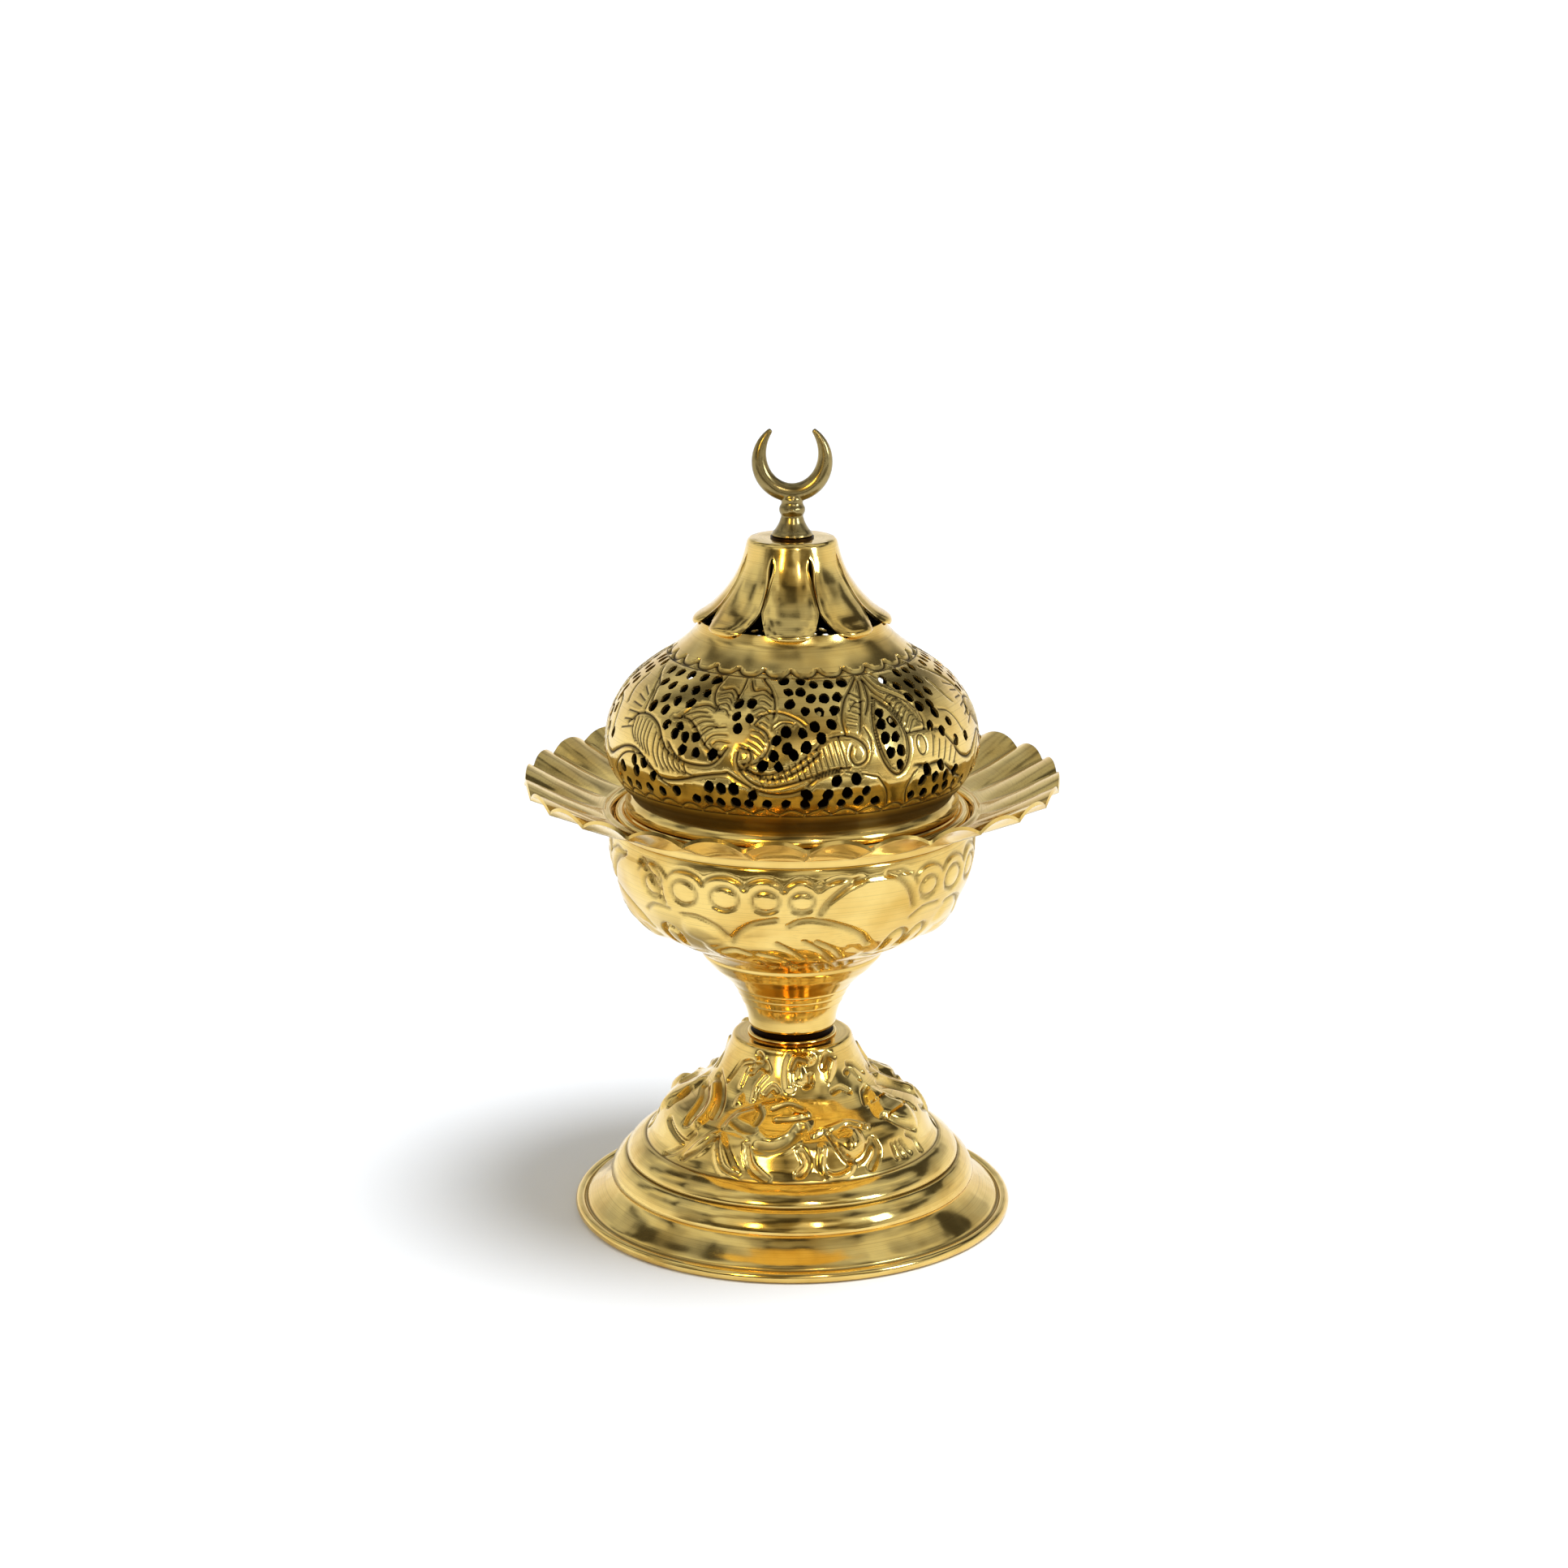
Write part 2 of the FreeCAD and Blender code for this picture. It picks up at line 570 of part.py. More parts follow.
def build_fasteners():
    """The tie bolt through bowl, neck and foot, and what the finial's stud clamps."""
    washer = "bolt_washer_height"
    grip = f"bowl_wall + neck_height + spacer_height + foot_wall + 2 * {washer}"
    place(turned("tie_bolt", [
        ("0", f"-({grip} + bolt_nut_height + bolt_end)"),
        ("bolt_radius", f"-({grip} + bolt_nut_height + bolt_end)"),
        ("bolt_radius", "0"),
        ("bolt_head_radius", "0"),
        ("bolt_head_radius", "bolt_head_height * 0.4"),
        ("bolt_head_radius * 0.5", "bolt_head_height", 0.4, 0.75),
        ("0", "bolt_head_height"),
    ]), "tie_bolt", f"{BOWL_SEAT} + bowl_wall + {washer}")
    place(ring("bowl_washer_ring", BOLT_HOLE, "bolt_washer_radius", "0", washer),
          "bowl_washer", f"{BOWL_SEAT} + bowl_wall")
    place(ring("foot_washer_ring", BOLT_HOLE, "bolt_washer_radius", "0", washer),
          "foot_washer", f"foot_height - foot_wall - {washer}")
    place(nut("foot_nut_hex", "bolt_nut_size", "bolt_nut_height", "bolt_radius"),
          "foot_nut", f"foot_height - foot_wall - {washer} - bolt_nut_height")
    place(ring("finial_washer_ring", STUD_HOLE, "finial_washer_radius", "0", "finial_washer_height"),
          "finial_washer", CAP_CROWN)
    place(ring("cap_washer_ring", STUD_HOLE, "cap_washer_radius", "0", "cap_washer_height"),
          "cap_washer", f"{CAP_CROWN} - cap_wall - cap_washer_height")
    place(nut("finial_nut_hex", "stud_nut_size", "stud_nut_height", "stud_radius"),
          "finial_nut", f"{CAP_CROWN} - cap_wall - cap_washer_height - stud_nut_height")


def check_and_export():
    """Refuse a failed feature or a bad solid, then write every sub-part."""
    doc.recompute()
    for thing in doc.Objects:
        if "Invalid" in thing.State or "Error" in thing.State:
            raise RuntimeError(f"{thing.Name} failed: {thing.State}")
    os.makedirs("parts", exist_ok=True)
    for part in SUBPARTS:
        shape = part.Shape
        if shape.isNull() or not shape.isValid() or not shape.Solids or shape.Volume <= 0:
            raise RuntimeError(f"{part.Label} is not a valid solid")
        shape.exportStep(f"parts/{part.Label}.step")
        print(f"{part.Label}: {len(shape.Solids)} solid, {shape.Volume:.0f} mm3, top {shape.BoundBox.ZMax:.2f}")


build_foot()
build_spacer()
build_neck()
build_bowl()
build_plate()
build_cup()
build_seat_ring()
build_dome()
build_petal_cap()
build_finial()
build_fasteners()
check_and_export()
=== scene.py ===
import math
import random

import bpy
import numpy as np
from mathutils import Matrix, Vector
from mathutils.geometry import delaunay_2d_cdt


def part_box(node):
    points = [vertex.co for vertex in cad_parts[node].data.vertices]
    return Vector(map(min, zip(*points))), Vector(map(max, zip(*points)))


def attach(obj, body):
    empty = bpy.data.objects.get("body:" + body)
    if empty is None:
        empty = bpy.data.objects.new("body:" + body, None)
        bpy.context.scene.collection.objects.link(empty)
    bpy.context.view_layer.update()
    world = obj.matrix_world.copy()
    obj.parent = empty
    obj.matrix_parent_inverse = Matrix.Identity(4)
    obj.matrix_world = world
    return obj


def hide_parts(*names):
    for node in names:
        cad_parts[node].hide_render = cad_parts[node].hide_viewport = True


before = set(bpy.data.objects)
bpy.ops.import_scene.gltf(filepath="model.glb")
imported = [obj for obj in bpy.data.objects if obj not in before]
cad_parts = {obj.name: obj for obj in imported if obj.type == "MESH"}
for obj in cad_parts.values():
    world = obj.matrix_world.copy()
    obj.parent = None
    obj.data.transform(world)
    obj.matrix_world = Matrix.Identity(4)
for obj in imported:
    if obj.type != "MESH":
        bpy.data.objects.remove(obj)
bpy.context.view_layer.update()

bl_info = {
    "name": "Brass Incense Burner",
    "version": (1, 0, 0),
    "blender": (4, 5, 0),
    "location": "3D View > Sidebar > Incense Burner",
    "description": "Builds the chased, pierced and spun pieces of a brass table censer",
    "category": "Add Mesh",
}

# Sizes below are millimetres and angles are degrees unless a name says otherwise.
# A turn of 0 faces the front (-Y) and grows towards the right (+X). A place on a
# chased piece is (turn, run): run is the distance along the piece's outer line.
MM = 0.001
DEGREE = math.pi / 180


def rgb(code):
    """Linear colour from an sRGB hex value."""
    parts = [int(code[i:i + 2], 16) / 255 for i in (0, 2, 4)]
    linear = [p / 12.92 if p <= 0.04045 else ((p + 0.055) / 1.055) ** 2.4 for p in parts]
    return (*linear, 1.0)


def seat(node):
    """Height of a CAD node's lowest point."""
    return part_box(node)[0][2] / MM


def top(node):
    """Height of a CAD node's highest point."""
    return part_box(node)[1][2] / MM


# ---------------------------------------------------------------- settings

def length_setting(name, description, default):
    """A length that the panel shows in the scene's unit; the default is given in mm."""
    return bpy.props.FloatProperty(name=name, description=description, default=default * MM, min=0, max=0.02,
                                   precision=5, unit="LENGTH", subtype="DISTANCE")


def colour_setting(name, description, default):
    """A colour that the panel shows as a swatch; the default is sRGB hex."""
    return bpy.props.FloatVectorProperty(name=name, description=description, default=rgb(default), size=4,
                                         min=0, max=1, subtype="COLOR")


class BurnerSizes(bpy.types.PropertyGroup):
    """Sizes of the visible detail"""

    foot_wall: length_setting("Foot sheet", "Sheet thickness of the foot", 0.9)
    bowl_wall: length_setting("Bowl sheet", "Sheet thickness of the bowl and the neck", 0.9)
    plate_wall: length_setting("Plate sheet", "Sheet thickness of the plate", 0.9)
    lid_wall: length_setting("Lid sheet", "Sheet thickness of the dome and its cap", 0.8)
    flute_depth: length_setting("Flute depth", "Height of a ridge at the plate's edge", 2.5)
    hole_width: length_setting("Hole width", "Width of a pierced hole", 2.75)
    hole_height: length_setting("Hole height", "Height of a pierced hole", 3.3)
    flutes: bpy.props.IntProperty(
        name="Flutes", description="Ridges pressed into the plate", default=28, min=6, max=60)
    petals: bpy.props.IntProperty(
        name="Petals", description="Petals of the lid's cap", default=8, min=3, max=16)


class BurnerColours(bpy.types.PropertyGroup):
    """Colours of the finishes"""

    brass: colour_setting("Polished brass", "Reflected colour of clean brass", "F1D17E")
    warm_brass: colour_setting("Warm brass", "Brass where the polish has toned", "DDB55E")
    cast: colour_setting("Cast brass", "Duller casting alloy of the finial", "A08D5C")
    # The patina colour is also painted shade, laid in recesses, under the dome and inside the lid and cup.
    patina: colour_setting("Patina", "Dark tone left in grooves and inside the lid", "1E1004")
    steel: colour_setting("Plated steel", "Hidden fasteners", "B4B1A6")
    floor: colour_setting("Floor", "Pale studio floor", "F2F5FA")


def mm(name):
    """One of the panel's lengths, in mm."""
    return getattr(bpy.context.scene.burner_sizes, name) / MM


def number(name):
    """One of the panel's counts."""
    return getattr(bpy.context.scene.burner_sizes, name)


def tone(name):
    """One of the panel's colours."""
    return tuple(getattr(bpy.context.scene.burner_colours, name))


# ---------------------------------------------------------------- lines and ornament

def through(points, steps=6, closed=False):
    """A smooth curve through given points (Catmull-Rom)."""
    pts = [np.array(p, float) for p in points]
    if len(pts) < 3:
        return [tuple(p) for p in pts]
    last = len(pts) if closed else len(pts) - 1
    curve = []
    for i in range(last):
        if closed:
            a, b, c, d = (pts[(i + k) % len(pts)] for k in (-1, 0, 1, 2))
        else:
            a, b, c, d = pts[max(i - 1, 0)], pts[i], pts[i + 1], pts[min(i + 2, last)]
        for step in range(steps):
            t = step / steps
            curve.append(0.5 * (2 * b + (c - a) * t + (2 * a - 5 * b + 4 * c - d) * t * t
                                + (3 * b - a - 3 * c + d) * t ** 3))
    curve.append(pts[0] if closed else pts[-1])
    return [tuple(p) for p in curve]


class Profile:
    """The outer line of a turned piece: smooth runs of (radius, height) that meet at corners."""

    def __init__(self, runs, pitch=0.5):
        rough = []
        for run in runs:
            rough += through(run, 16)
        rough = np.array(rough)
        keep = np.append(True, np.hypot(*np.diff(rough, axis=0).T) > 1e-6)
        rough = rough[keep]
        length = np.append(0, np.cumsum(np.hypot(*np.diff(rough, axis=0).T)))
        corners = {0.0, length[-1]}
        for run in runs:
            corners.add(float(length[np.argmin(np.hypot(*(rough - run[-1]).T))]))
        stops = []
        corners = sorted(corners)
        for low, high in zip(corners, corners[1:]):
            count = max(1, round((high - low) / pitch))
            stops += [low + (high - low) * k / count for k in range(count)]
        self.run = np.array(stops + [corners[-1]])
        self.rough, self.length = rough, length
        self.radius, self.height = self.at(self.run)

    def at(self, run):
        """Radius and height at a distance along the line."""
        return (np.interp(run, self.length, self.rough[:, 0]), np.interp(run, self.length, self.rough[:, 1]))

    def run_at(self, radius, height):
        """Distance along the line of its place nearest to a radius and height."""
        return float(self.length[np.argmin(np.hypot(self.rough[:, 0] - radius, self.rough[:, 1] - height))])

    def normal(self, run):
        """Direction, in radius and height, that points to the right of the line."""
        r0, z0 = self.at(np.asarray(run) - 0.4)
        r1, z1 = self.at(np.asarray(run) + 0.4)
        size = np.hypot(r1 - r0, z1 - z0)
        return (z1 - z0) / size, (r0 - r1) / size

    def sheet(self, wall, inner_pitch=2.0):
        """Closed outline of a sheet that has this line as its outer face."""
        count = max(2, round(self.length[-1] / inner_pitch))
        run = np.linspace(0, self.length[-1], count + 1)
        out_r, out_z = self.normal(run)
        r, z = self.at(run)
        inner = list(zip(r - out_r * wall, z - out_z * wall))
        return list(zip(self.radius, self.height)) + inner[::-1]


def distances(line, turn, run, radius, reach):
    """Distance in mm from each place to a drawn line, or `reach` where it is further."""
    line = np.array(line)
    middle = (line[:, 0].min() + line[:, 0].max()) / 2
    away = (turn - middle + 180) % 360 - 180
    span = (line[:, 0].max() - line[:, 0].min()) / 2
    margin = reach / (radius * DEGREE)
    near = ((np.abs(away) < span + margin) & (run > line[:, 1].min() - reach)
            & (run < line[:, 1].max() + reach))
    found = np.full(len(turn), float(reach))
    scale = radius[near] * DEGREE
    px, py = away[near] * scale, run[near]
    best = np.full(len(px), float(reach))
    for (ta, sa), (tb, sb) in zip(line, line[1:]):
        ax, bx = (ta - middle) * scale, (tb - middle) * scale
        dx, dy = bx - ax, sb - sa
        along = np.clip(((px - ax) * dx + (py - sa) * dy) / (dx * dx + dy * dy + 1e-12), 0, 1)
        best = np.minimum(best, np.hypot(px - ax - along * dx, py - sa - along * dy))
    found[near] = best
    return found


def inside(line, turn, run):
    """Which places lie inside a closed drawn line."""
    line = np.array(line)
    middle = (line[:, 0].min() + line[:, 0].max()) / 2
    x = (turn - middle + 180) % 360 - 180
    within = np.zeros(len(turn), bool)
    for (xa, ya), (xb, yb) in zip(line - (middle, 0), np.roll(line, -1, axis=0) - (middle, 0)):
        crosses = (ya > run) != (yb > run)
        slope = (xb - xa) / ((yb - ya) or 1e-9)
        within ^= crosses & (x < xa + (run - ya) * slope)
    return within


class Ornament:
    """A repeated drawing: grooves and ridges along lines, and pillows inside outlines."""

    def __init__(self, copies=((0, 1),), start=0.0, bold=1.0):
        """`copies` are (turn, stretch) pairs, `start` is the run where the drawing begins.

        `bold` makes every line and pillow broader and deeper.
        """
        self.copies = copies
        self.start = start
        self.bold = bold
        self.strokes = []
        self.pillows = []

    def stroke(self, points, width=0.45, depth=0.3, closed=False):
        """A line, sunk by its depth, or raised where the depth is negative."""
        curve = through(points, 5, closed)
        for centre, stretch in self.copies:
            path = [(centre + t * stretch, s + self.start) for t, s in curve]
            self.strokes.append((path, width * self.bold, depth * self.bold))

    def strokes_of(self, width, depth, *lines):
        """Several lines with the same tool."""
        for points in lines:
            self.stroke(points, width, depth)

    def ring(self, run, width, depth):
        """A line right round the piece."""
        self.strokes.append(([(t, run) for t in range(-180, 181, 6)], width, depth))

    def hatch(self, first, last, count, width=0.4, depth=0.25):
        """Short strokes that step evenly from the first one to the last."""
        for k in range(count):
            t = k / max(1, count - 1)
            self.stroke([tuple(np.array(a) * (1 - t) + np.array(b) * t) for a, b in zip(first, last)],
                        width, depth)

    def pillow(self, points, rise, edge=2.0):
        """A closed outline whose inside stands up by its rise over the width of its edge."""
        curve = through(points, 4, closed=True)
        for centre, stretch in self.copies:
            path = [(centre + t * stretch, s + self.start) for t, s in curve]
            self.pillows.append((path, rise * self.bold, edge * self.bold))

    def relief(self, turn, run, radius):
        """Height in mm, and the share of patina, at every place."""
        height = np.zeros(len(turn))
        dark = np.zeros(len(turn))
        for outline, rise, edge in self.pillows:
            depth_in = distances(outline, turn, run, radius, edge)
            swell = np.sin(np.clip(depth_in / edge, 0, 1) * math.pi / 2)
            height += rise * np.where(inside(outline, turn, run), swell, 0)
        for line, width, depth in self.strokes:
            near = 1 - np.clip(distances(line, turn, run, radius, width) / width, 0, 1)
            height -= depth * near * near * (3 - 2 * near)
            if depth > 0:
                dark = np.maximum(dark, near)
        return height, dark


# ---------------------------------------------------------------- modelling tools

def select_only(piece):
    """Make one object the selected and active one."""
    if bpy.context.object and bpy.context.object.mode != "OBJECT":
        bpy.ops.object.mode_set(mode="OBJECT")
    bpy.ops.object.select_all(action="DESELECT")
    piece.select_set(True)
    bpy.context.view_layer.objects.active = piece


def edit_all(piece):
    """Go into edit mode with everything selected."""
    select_only(piece)
    bpy.ops.object.mode_set(mode="EDIT")
    bpy.ops.mesh.select_mode(type="VERT")
    bpy.ops.mesh.select_all(action="SELECT")


def apply_modifier(piece, kind, **settings):
    """Add a modifier, set it and apply it."""
    select_only(piece)
    modifier = piece.modifiers.new(kind.title(), kind)
    for name, value in settings.items():
        setattr(modifier, name, value)
    bpy.ops.object.modifier_apply(modifier=modifier.name)


def shade(piece, angle=40):
    """Smooth shading that keeps edges sharper than the angle."""
    select_only(piece)
    bpy.ops.object.shade_smooth_by_angle(angle=math.radians(angle))


def lathe(name, outline, base, segments=192, closed=True):
    """Spin an outline of (radius, height) about the upright axis."""
    bpy.ops.object.select_all(action="DESELECT")
    bpy.ops.mesh.primitive_circle_add(vertices=len(outline), radius=MM)
    piece = bpy.context.object
    piece.name = piece.data.name = name
    for vertex, (radius, height) in zip(piece.data.vertices, outline):
        vertex.co = (0, -radius * MM, (base + height) * MM)
    edit_all(piece)
    if not closed:
        bpy.ops.mesh.select_all(action="DESELECT")
        bpy.ops.object.mode_set(mode="OBJECT")
        for edge in piece.data.edges:
            edge.select = set(edge.vertices) == {0, len(outline) - 1}
        bpy.ops.object.mode_set(mode="EDIT")
        bpy.ops.mesh.select_mode(type="EDGE")
        bpy.ops.mesh.delete(type="EDGE")
        edit_all(piece)
    bpy.ops.mesh.spin(steps=segments, angle=2 * math.pi, center=(0, 0, 0), axis=(0, 0, 1))
    bpy.ops.mesh.select_all(action="SELECT")
    bpy.ops.mesh.remove_doubles(threshold=2e-6)
    bpy.ops.mesh.normals_make_consistent(inside=False)
    bpy.ops.object.mode_set(mode="OBJECT")
    return piece


def polar(piece):
    """Turn, radius and height of every vertex, in degrees and mm."""
    flat = np.empty(len(piece.data.vertices) * 3)
    piece.data.vertices.foreach_get("co", flat)
    x, y, z = flat.reshape(-1, 3).T / MM
    return np.degrees(np.arctan2(x, -y)), np.hypot(x, y), z


def weigh(piece, name, weights):
    """Store one weight for each vertex as a vertex group."""
    group = piece.vertex_groups.new(name=name)
    for index in np.nonzero(weights > 0.002)[0]:
        group.add([int(index)], float(weights[index]), "REPLACE")
    return group.name


def stain_and_shade(piece, dark):
    """Keep the share of darkening on the mesh for the material: patina in grooves and painted shade in
    recesses.
    """
    layer = piece.data.attributes.new("patina", "FLOAT", "POINT")
    layer.data.foreach_set("value", np.asarray(dark, np.float32))


def blacken(piece, where, share):
    """Darken the marked vertices more: a dark joint, soot and painted shade."""
    values = np.zeros(len(piece.data.vertices), np.float32)
    piece.data.attributes["patina"].data.foreach_get("value", values)
    values[where] = np.maximum(values[where], share)
    piece.data.attributes["patina"].data.foreach_set("value", values)


def thicken(piece, wall):
    """Give a sheet its thickness inwards, with its inner face darkened: soot, and painted shade inside the
    lid.
    """
    outer = len(piece.data.vertices)
    apply_modifier(piece, "SOLIDIFY", thickness=wall * MM, offset=-1)
    blacken(piece, slice(outer, None), 1)


def chase(piece, profile, base, ornament, tarnish, extra=None):
    """Raise and sink the outer face of a turned piece as its ornament says.

    `tarnish` is how dark the grooves are; `extra` gives more relief at a turn and a run.
    """
    turn, radius, height = polar(piece)
    key = {(round(r, 2), round(z, 2)): s for r, z, s in zip(profile.radius, profile.height, profile.run)}
    run = np.array([key.get((round(r, 2), round(z - base, 2)), -1) for r, z in zip(radius, height)])
    outer = run >= 0
    relief, dark = np.zeros(len(turn)), np.zeros(len(turn))
    relief[outer], dark[outer] = ornament.relief(turn[outer], run[outer], radius[outer])
    if extra:
        relief[outer] += extra(turn[outer], run[outer])
    for name, part, sign in (("raised", relief, 1), ("sunk", -relief, -1)):
        deepest = part.max()
        if deepest > 0:
            group = weigh(piece, name, np.clip(part, 0, None) / deepest)
            apply_modifier(piece, "DISPLACE", vertex_group=group, strength=sign * deepest * MM,
                           mid_level=0, direction="NORMAL")
    stain_and_shade(piece, dark * tarnish)
    piece.vertex_groups.clear()


def finish(piece, body, material, slot, *nodes, angle=40):
    """Shade a piece, give it its finish and put it in its place in the frame."""
    shade(piece, angle)
    piece.data.materials.clear()
    piece.data.materials.append(material)
    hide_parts(*nodes)
    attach(piece, body)


def join(pieces, name):
    """Several meshes as one."""
    select_only(pieces[0])
    for piece in pieces[1:]:
        piece.select_set(True)
    bpy.ops.object.join()
    pieces[0].name = pieces[0].data.name = name
    return pieces[0]


# ---------------------------------------------------------------- materials

def add_node(tree, kind, links=None, **settings):
    """Add a shader node, set it, and link its inputs from sockets or set them to values."""
    node = tree.nodes.new(kind)
    for name, value in settings.items():
        setattr(node, name, value)
    for name, value in (links or {}).items():
        if isinstance(value, bpy.types.NodeSocket):
            tree.links.new(value, node.inputs[name])
        else:
            node.inputs[name].default_value = value
    return node


def brass_finish(name, colour, warm, roughness, scratch, grain):
    """Metal with warm blotches, fine turning marks, and the dark tone wherever the mesh stores it: patina in
    grooves and painted shade in recesses.

    `scratch` is the strength of the polishing marks and `grain` the spacing of the
    turning marks in mm.
    """
    material = bpy.data.materials.new(name)
    material.use_nodes = True
    tree = material.node_tree
    shader = tree.nodes["Principled BSDF"]
    shader.inputs["Metallic"].default_value = 1.0
    place = add_node(tree, "ShaderNodeTexCoord").outputs["Object"]
    # Blotches about 14 mm across, where handling has toned the polish.
    blotch = add_node(tree, "ShaderNodeTexNoise", {"Vector": place, "Scale": 1 / (14 * MM), "Detail": 3.0})
    blotch_range = add_node(tree, "ShaderNodeMapRange", {
        "Value": blotch.outputs["Fac"], "From Min": 0.40, "From Max": 0.72})
    base = add_node(tree, "ShaderNodeMix", {
        "Factor": blotch_range.outputs["Result"], "A": colour, "B": warm}, data_type="RGBA")
    # Turning marks run round the piece, so they change only with height and radius.
    split = add_node(tree, "ShaderNodeSeparateXYZ", {"Vector": place})
    flat = add_node(tree, "ShaderNodeCombineXYZ", {"X": split.outputs["X"], "Y": split.outputs["Y"]})
    radius = add_node(tree, "ShaderNodeVectorMath", {0: flat.outputs[0]}, operation="LENGTH")
    ring = add_node(tree, "ShaderNodeCombineXYZ", {"X": radius.outputs["Value"], "Y": split.outputs["Z"]})
    marks = add_node(tree, "ShaderNodeTexNoise", {
        "Vector": ring.outputs[0], "Scale": 1 / (grain * MM), "Detail": 4.0, "Roughness": 0.6})
    # Old polish stays in the deeper turning marks.
    streak = add_node(tree, "ShaderNodeMapRange", {
        "Value": marks.outputs["Fac"], "From Min": 0.52, "From Max": 0.78, "To Max": 0.3})
    base = add_node(tree, "ShaderNodeMix", {
        "Factor": streak.outputs["Result"], "A": base.outputs["Result"], "B": tone("patina")},
        data_type="RGBA")
    # Rubbed scratches of about half a millimetre.
    rubbed = add_node(tree, "ShaderNodeTexNoise", {"Vector": place, "Scale": 1 / (0.6 * MM), "Detail": 2.0})
    both = add_node(tree, "ShaderNodeMix", {
        "Factor": 0.35, "A": marks.outputs["Fac"], "B": rubbed.outputs["Fac"]}, data_type="FLOAT")
    # Broad, shallow waves left by the spinning tool bend the reflections a little.
    waves = add_node(tree, "ShaderNodeTexNoise", {"Vector": place, "Scale": 1 / (9 * MM), "Detail": 1.0})
    rough = add_node(tree, "ShaderNodeMapRange", {
        "Value": both.outputs["Result"], "To Min": roughness * 0.5, "To Max": roughness * 1.5})
    dent = add_node(tree, "ShaderNodeBump", {
        "Height": waves.outputs["Fac"], "Strength": 0.5, "Distance": 0.5 * MM})
    bump = add_node(tree, "ShaderNodeBump", {
        "Height": both.outputs["Result"], "Strength": scratch, "Distance": 0.05 * MM,
        "Normal": dent.outputs["Normal"]})
    # The stored darkening: patina in grooves, and painted shade under the dome, in recesses and inside the
    # lid and cup.
    dark = add_node(tree, "ShaderNodeAttribute", attribute_name="patina")
    stained_and_shaded = add_node(tree, "ShaderNodeMix", {
        "Factor": dark.outputs["Fac"], "A": base.outputs["Result"], "B": tone("patina")}, data_type="RGBA")
    dulled = add_node(tree, "ShaderNodeMix", {
        "Factor": dark.outputs["Fac"], "A": rough.outputs["Result"], "B": 0.6}, data_type="FLOAT")
    tree.links.new(stained_and_shaded.outputs["Result"], shader.inputs["Base Color"])
    tree.links.new(dulled.outputs["Result"], shader.inputs["Roughness"])
    tree.links.new(bump.outputs["Normal"], shader.inputs["Normal"])
    return material


MATERIALS = {}


def material(name):
    """The named finish, made when it is first asked for."""
    if name not in MATERIALS:
        MATERIALS[name] = FINISHES[name]()
    return MATERIALS[name]


def spun_brass():
    """Sheet brass spun on a lathe and buffed: near-mirror, with faint rings."""
    return brass_finish("spun_brass", tone("brass"), tone("warm_brass"), 0.13, 0.2, 0.35)


def chased_brass():
    """Spun brass worked with chasing tools: bright high spots, dark tool lines."""
    return brass_finish("chased_brass", tone("brass"), tone("warm_brass"), 0.12, 0.10, 0.4)


def pierced_brass():
    """Pierced and engraved brass with polish-black left in every line."""
    return brass_finish("pierced_brass", tone("brass"), tone("warm_brass"), 0.18, 0.12, 0.4)


def cast_brass():
    """Sand-cast brass, filed and lightly buffed: duller and greener than sheet."""
    return brass_finish("cast_brass", tone("cast"), rgb("7C6A3F"), 0.24, 0.14, 1.4)


def dark_brass():
    """Brass darkened to near black, and rough."""
    return brass_finish("dark_brass", rgb("2E1F0E"), rgb("1A1006"), 0.45, 0.3, 0.5)


def plated_steel():
    """Zinc-plated steel hardware: grey, satin."""
    return brass_finish("plated_steel", tone("steel"), rgb("8E8B82"), 0.35, 0.3, 0.3)


FINISHES = {
    "spun_brass": spun_brass,
    "chased_brass": chased_brass,
    "pierced_brass": pierced_brass,
    "cast_brass": cast_brass,
    "dark_brass": dark_brass,
    "plated_steel": plated_steel,
}


# ---------------------------------------------------------------- foot

def bead(centre, radius, first, last, steps=14, floor=None):
    """Points round a rolled edge, kept above a floor if one is given."""
    points = []
    for k in range(steps + 1):
        angle = math.radians(first + (last - first) * k / steps)
        height = centre[1] + radius * math.sin(angle)
        points.append((centre[0] + radius * math.cos(angle), height if floor is None else max(height, floor)))
    return points


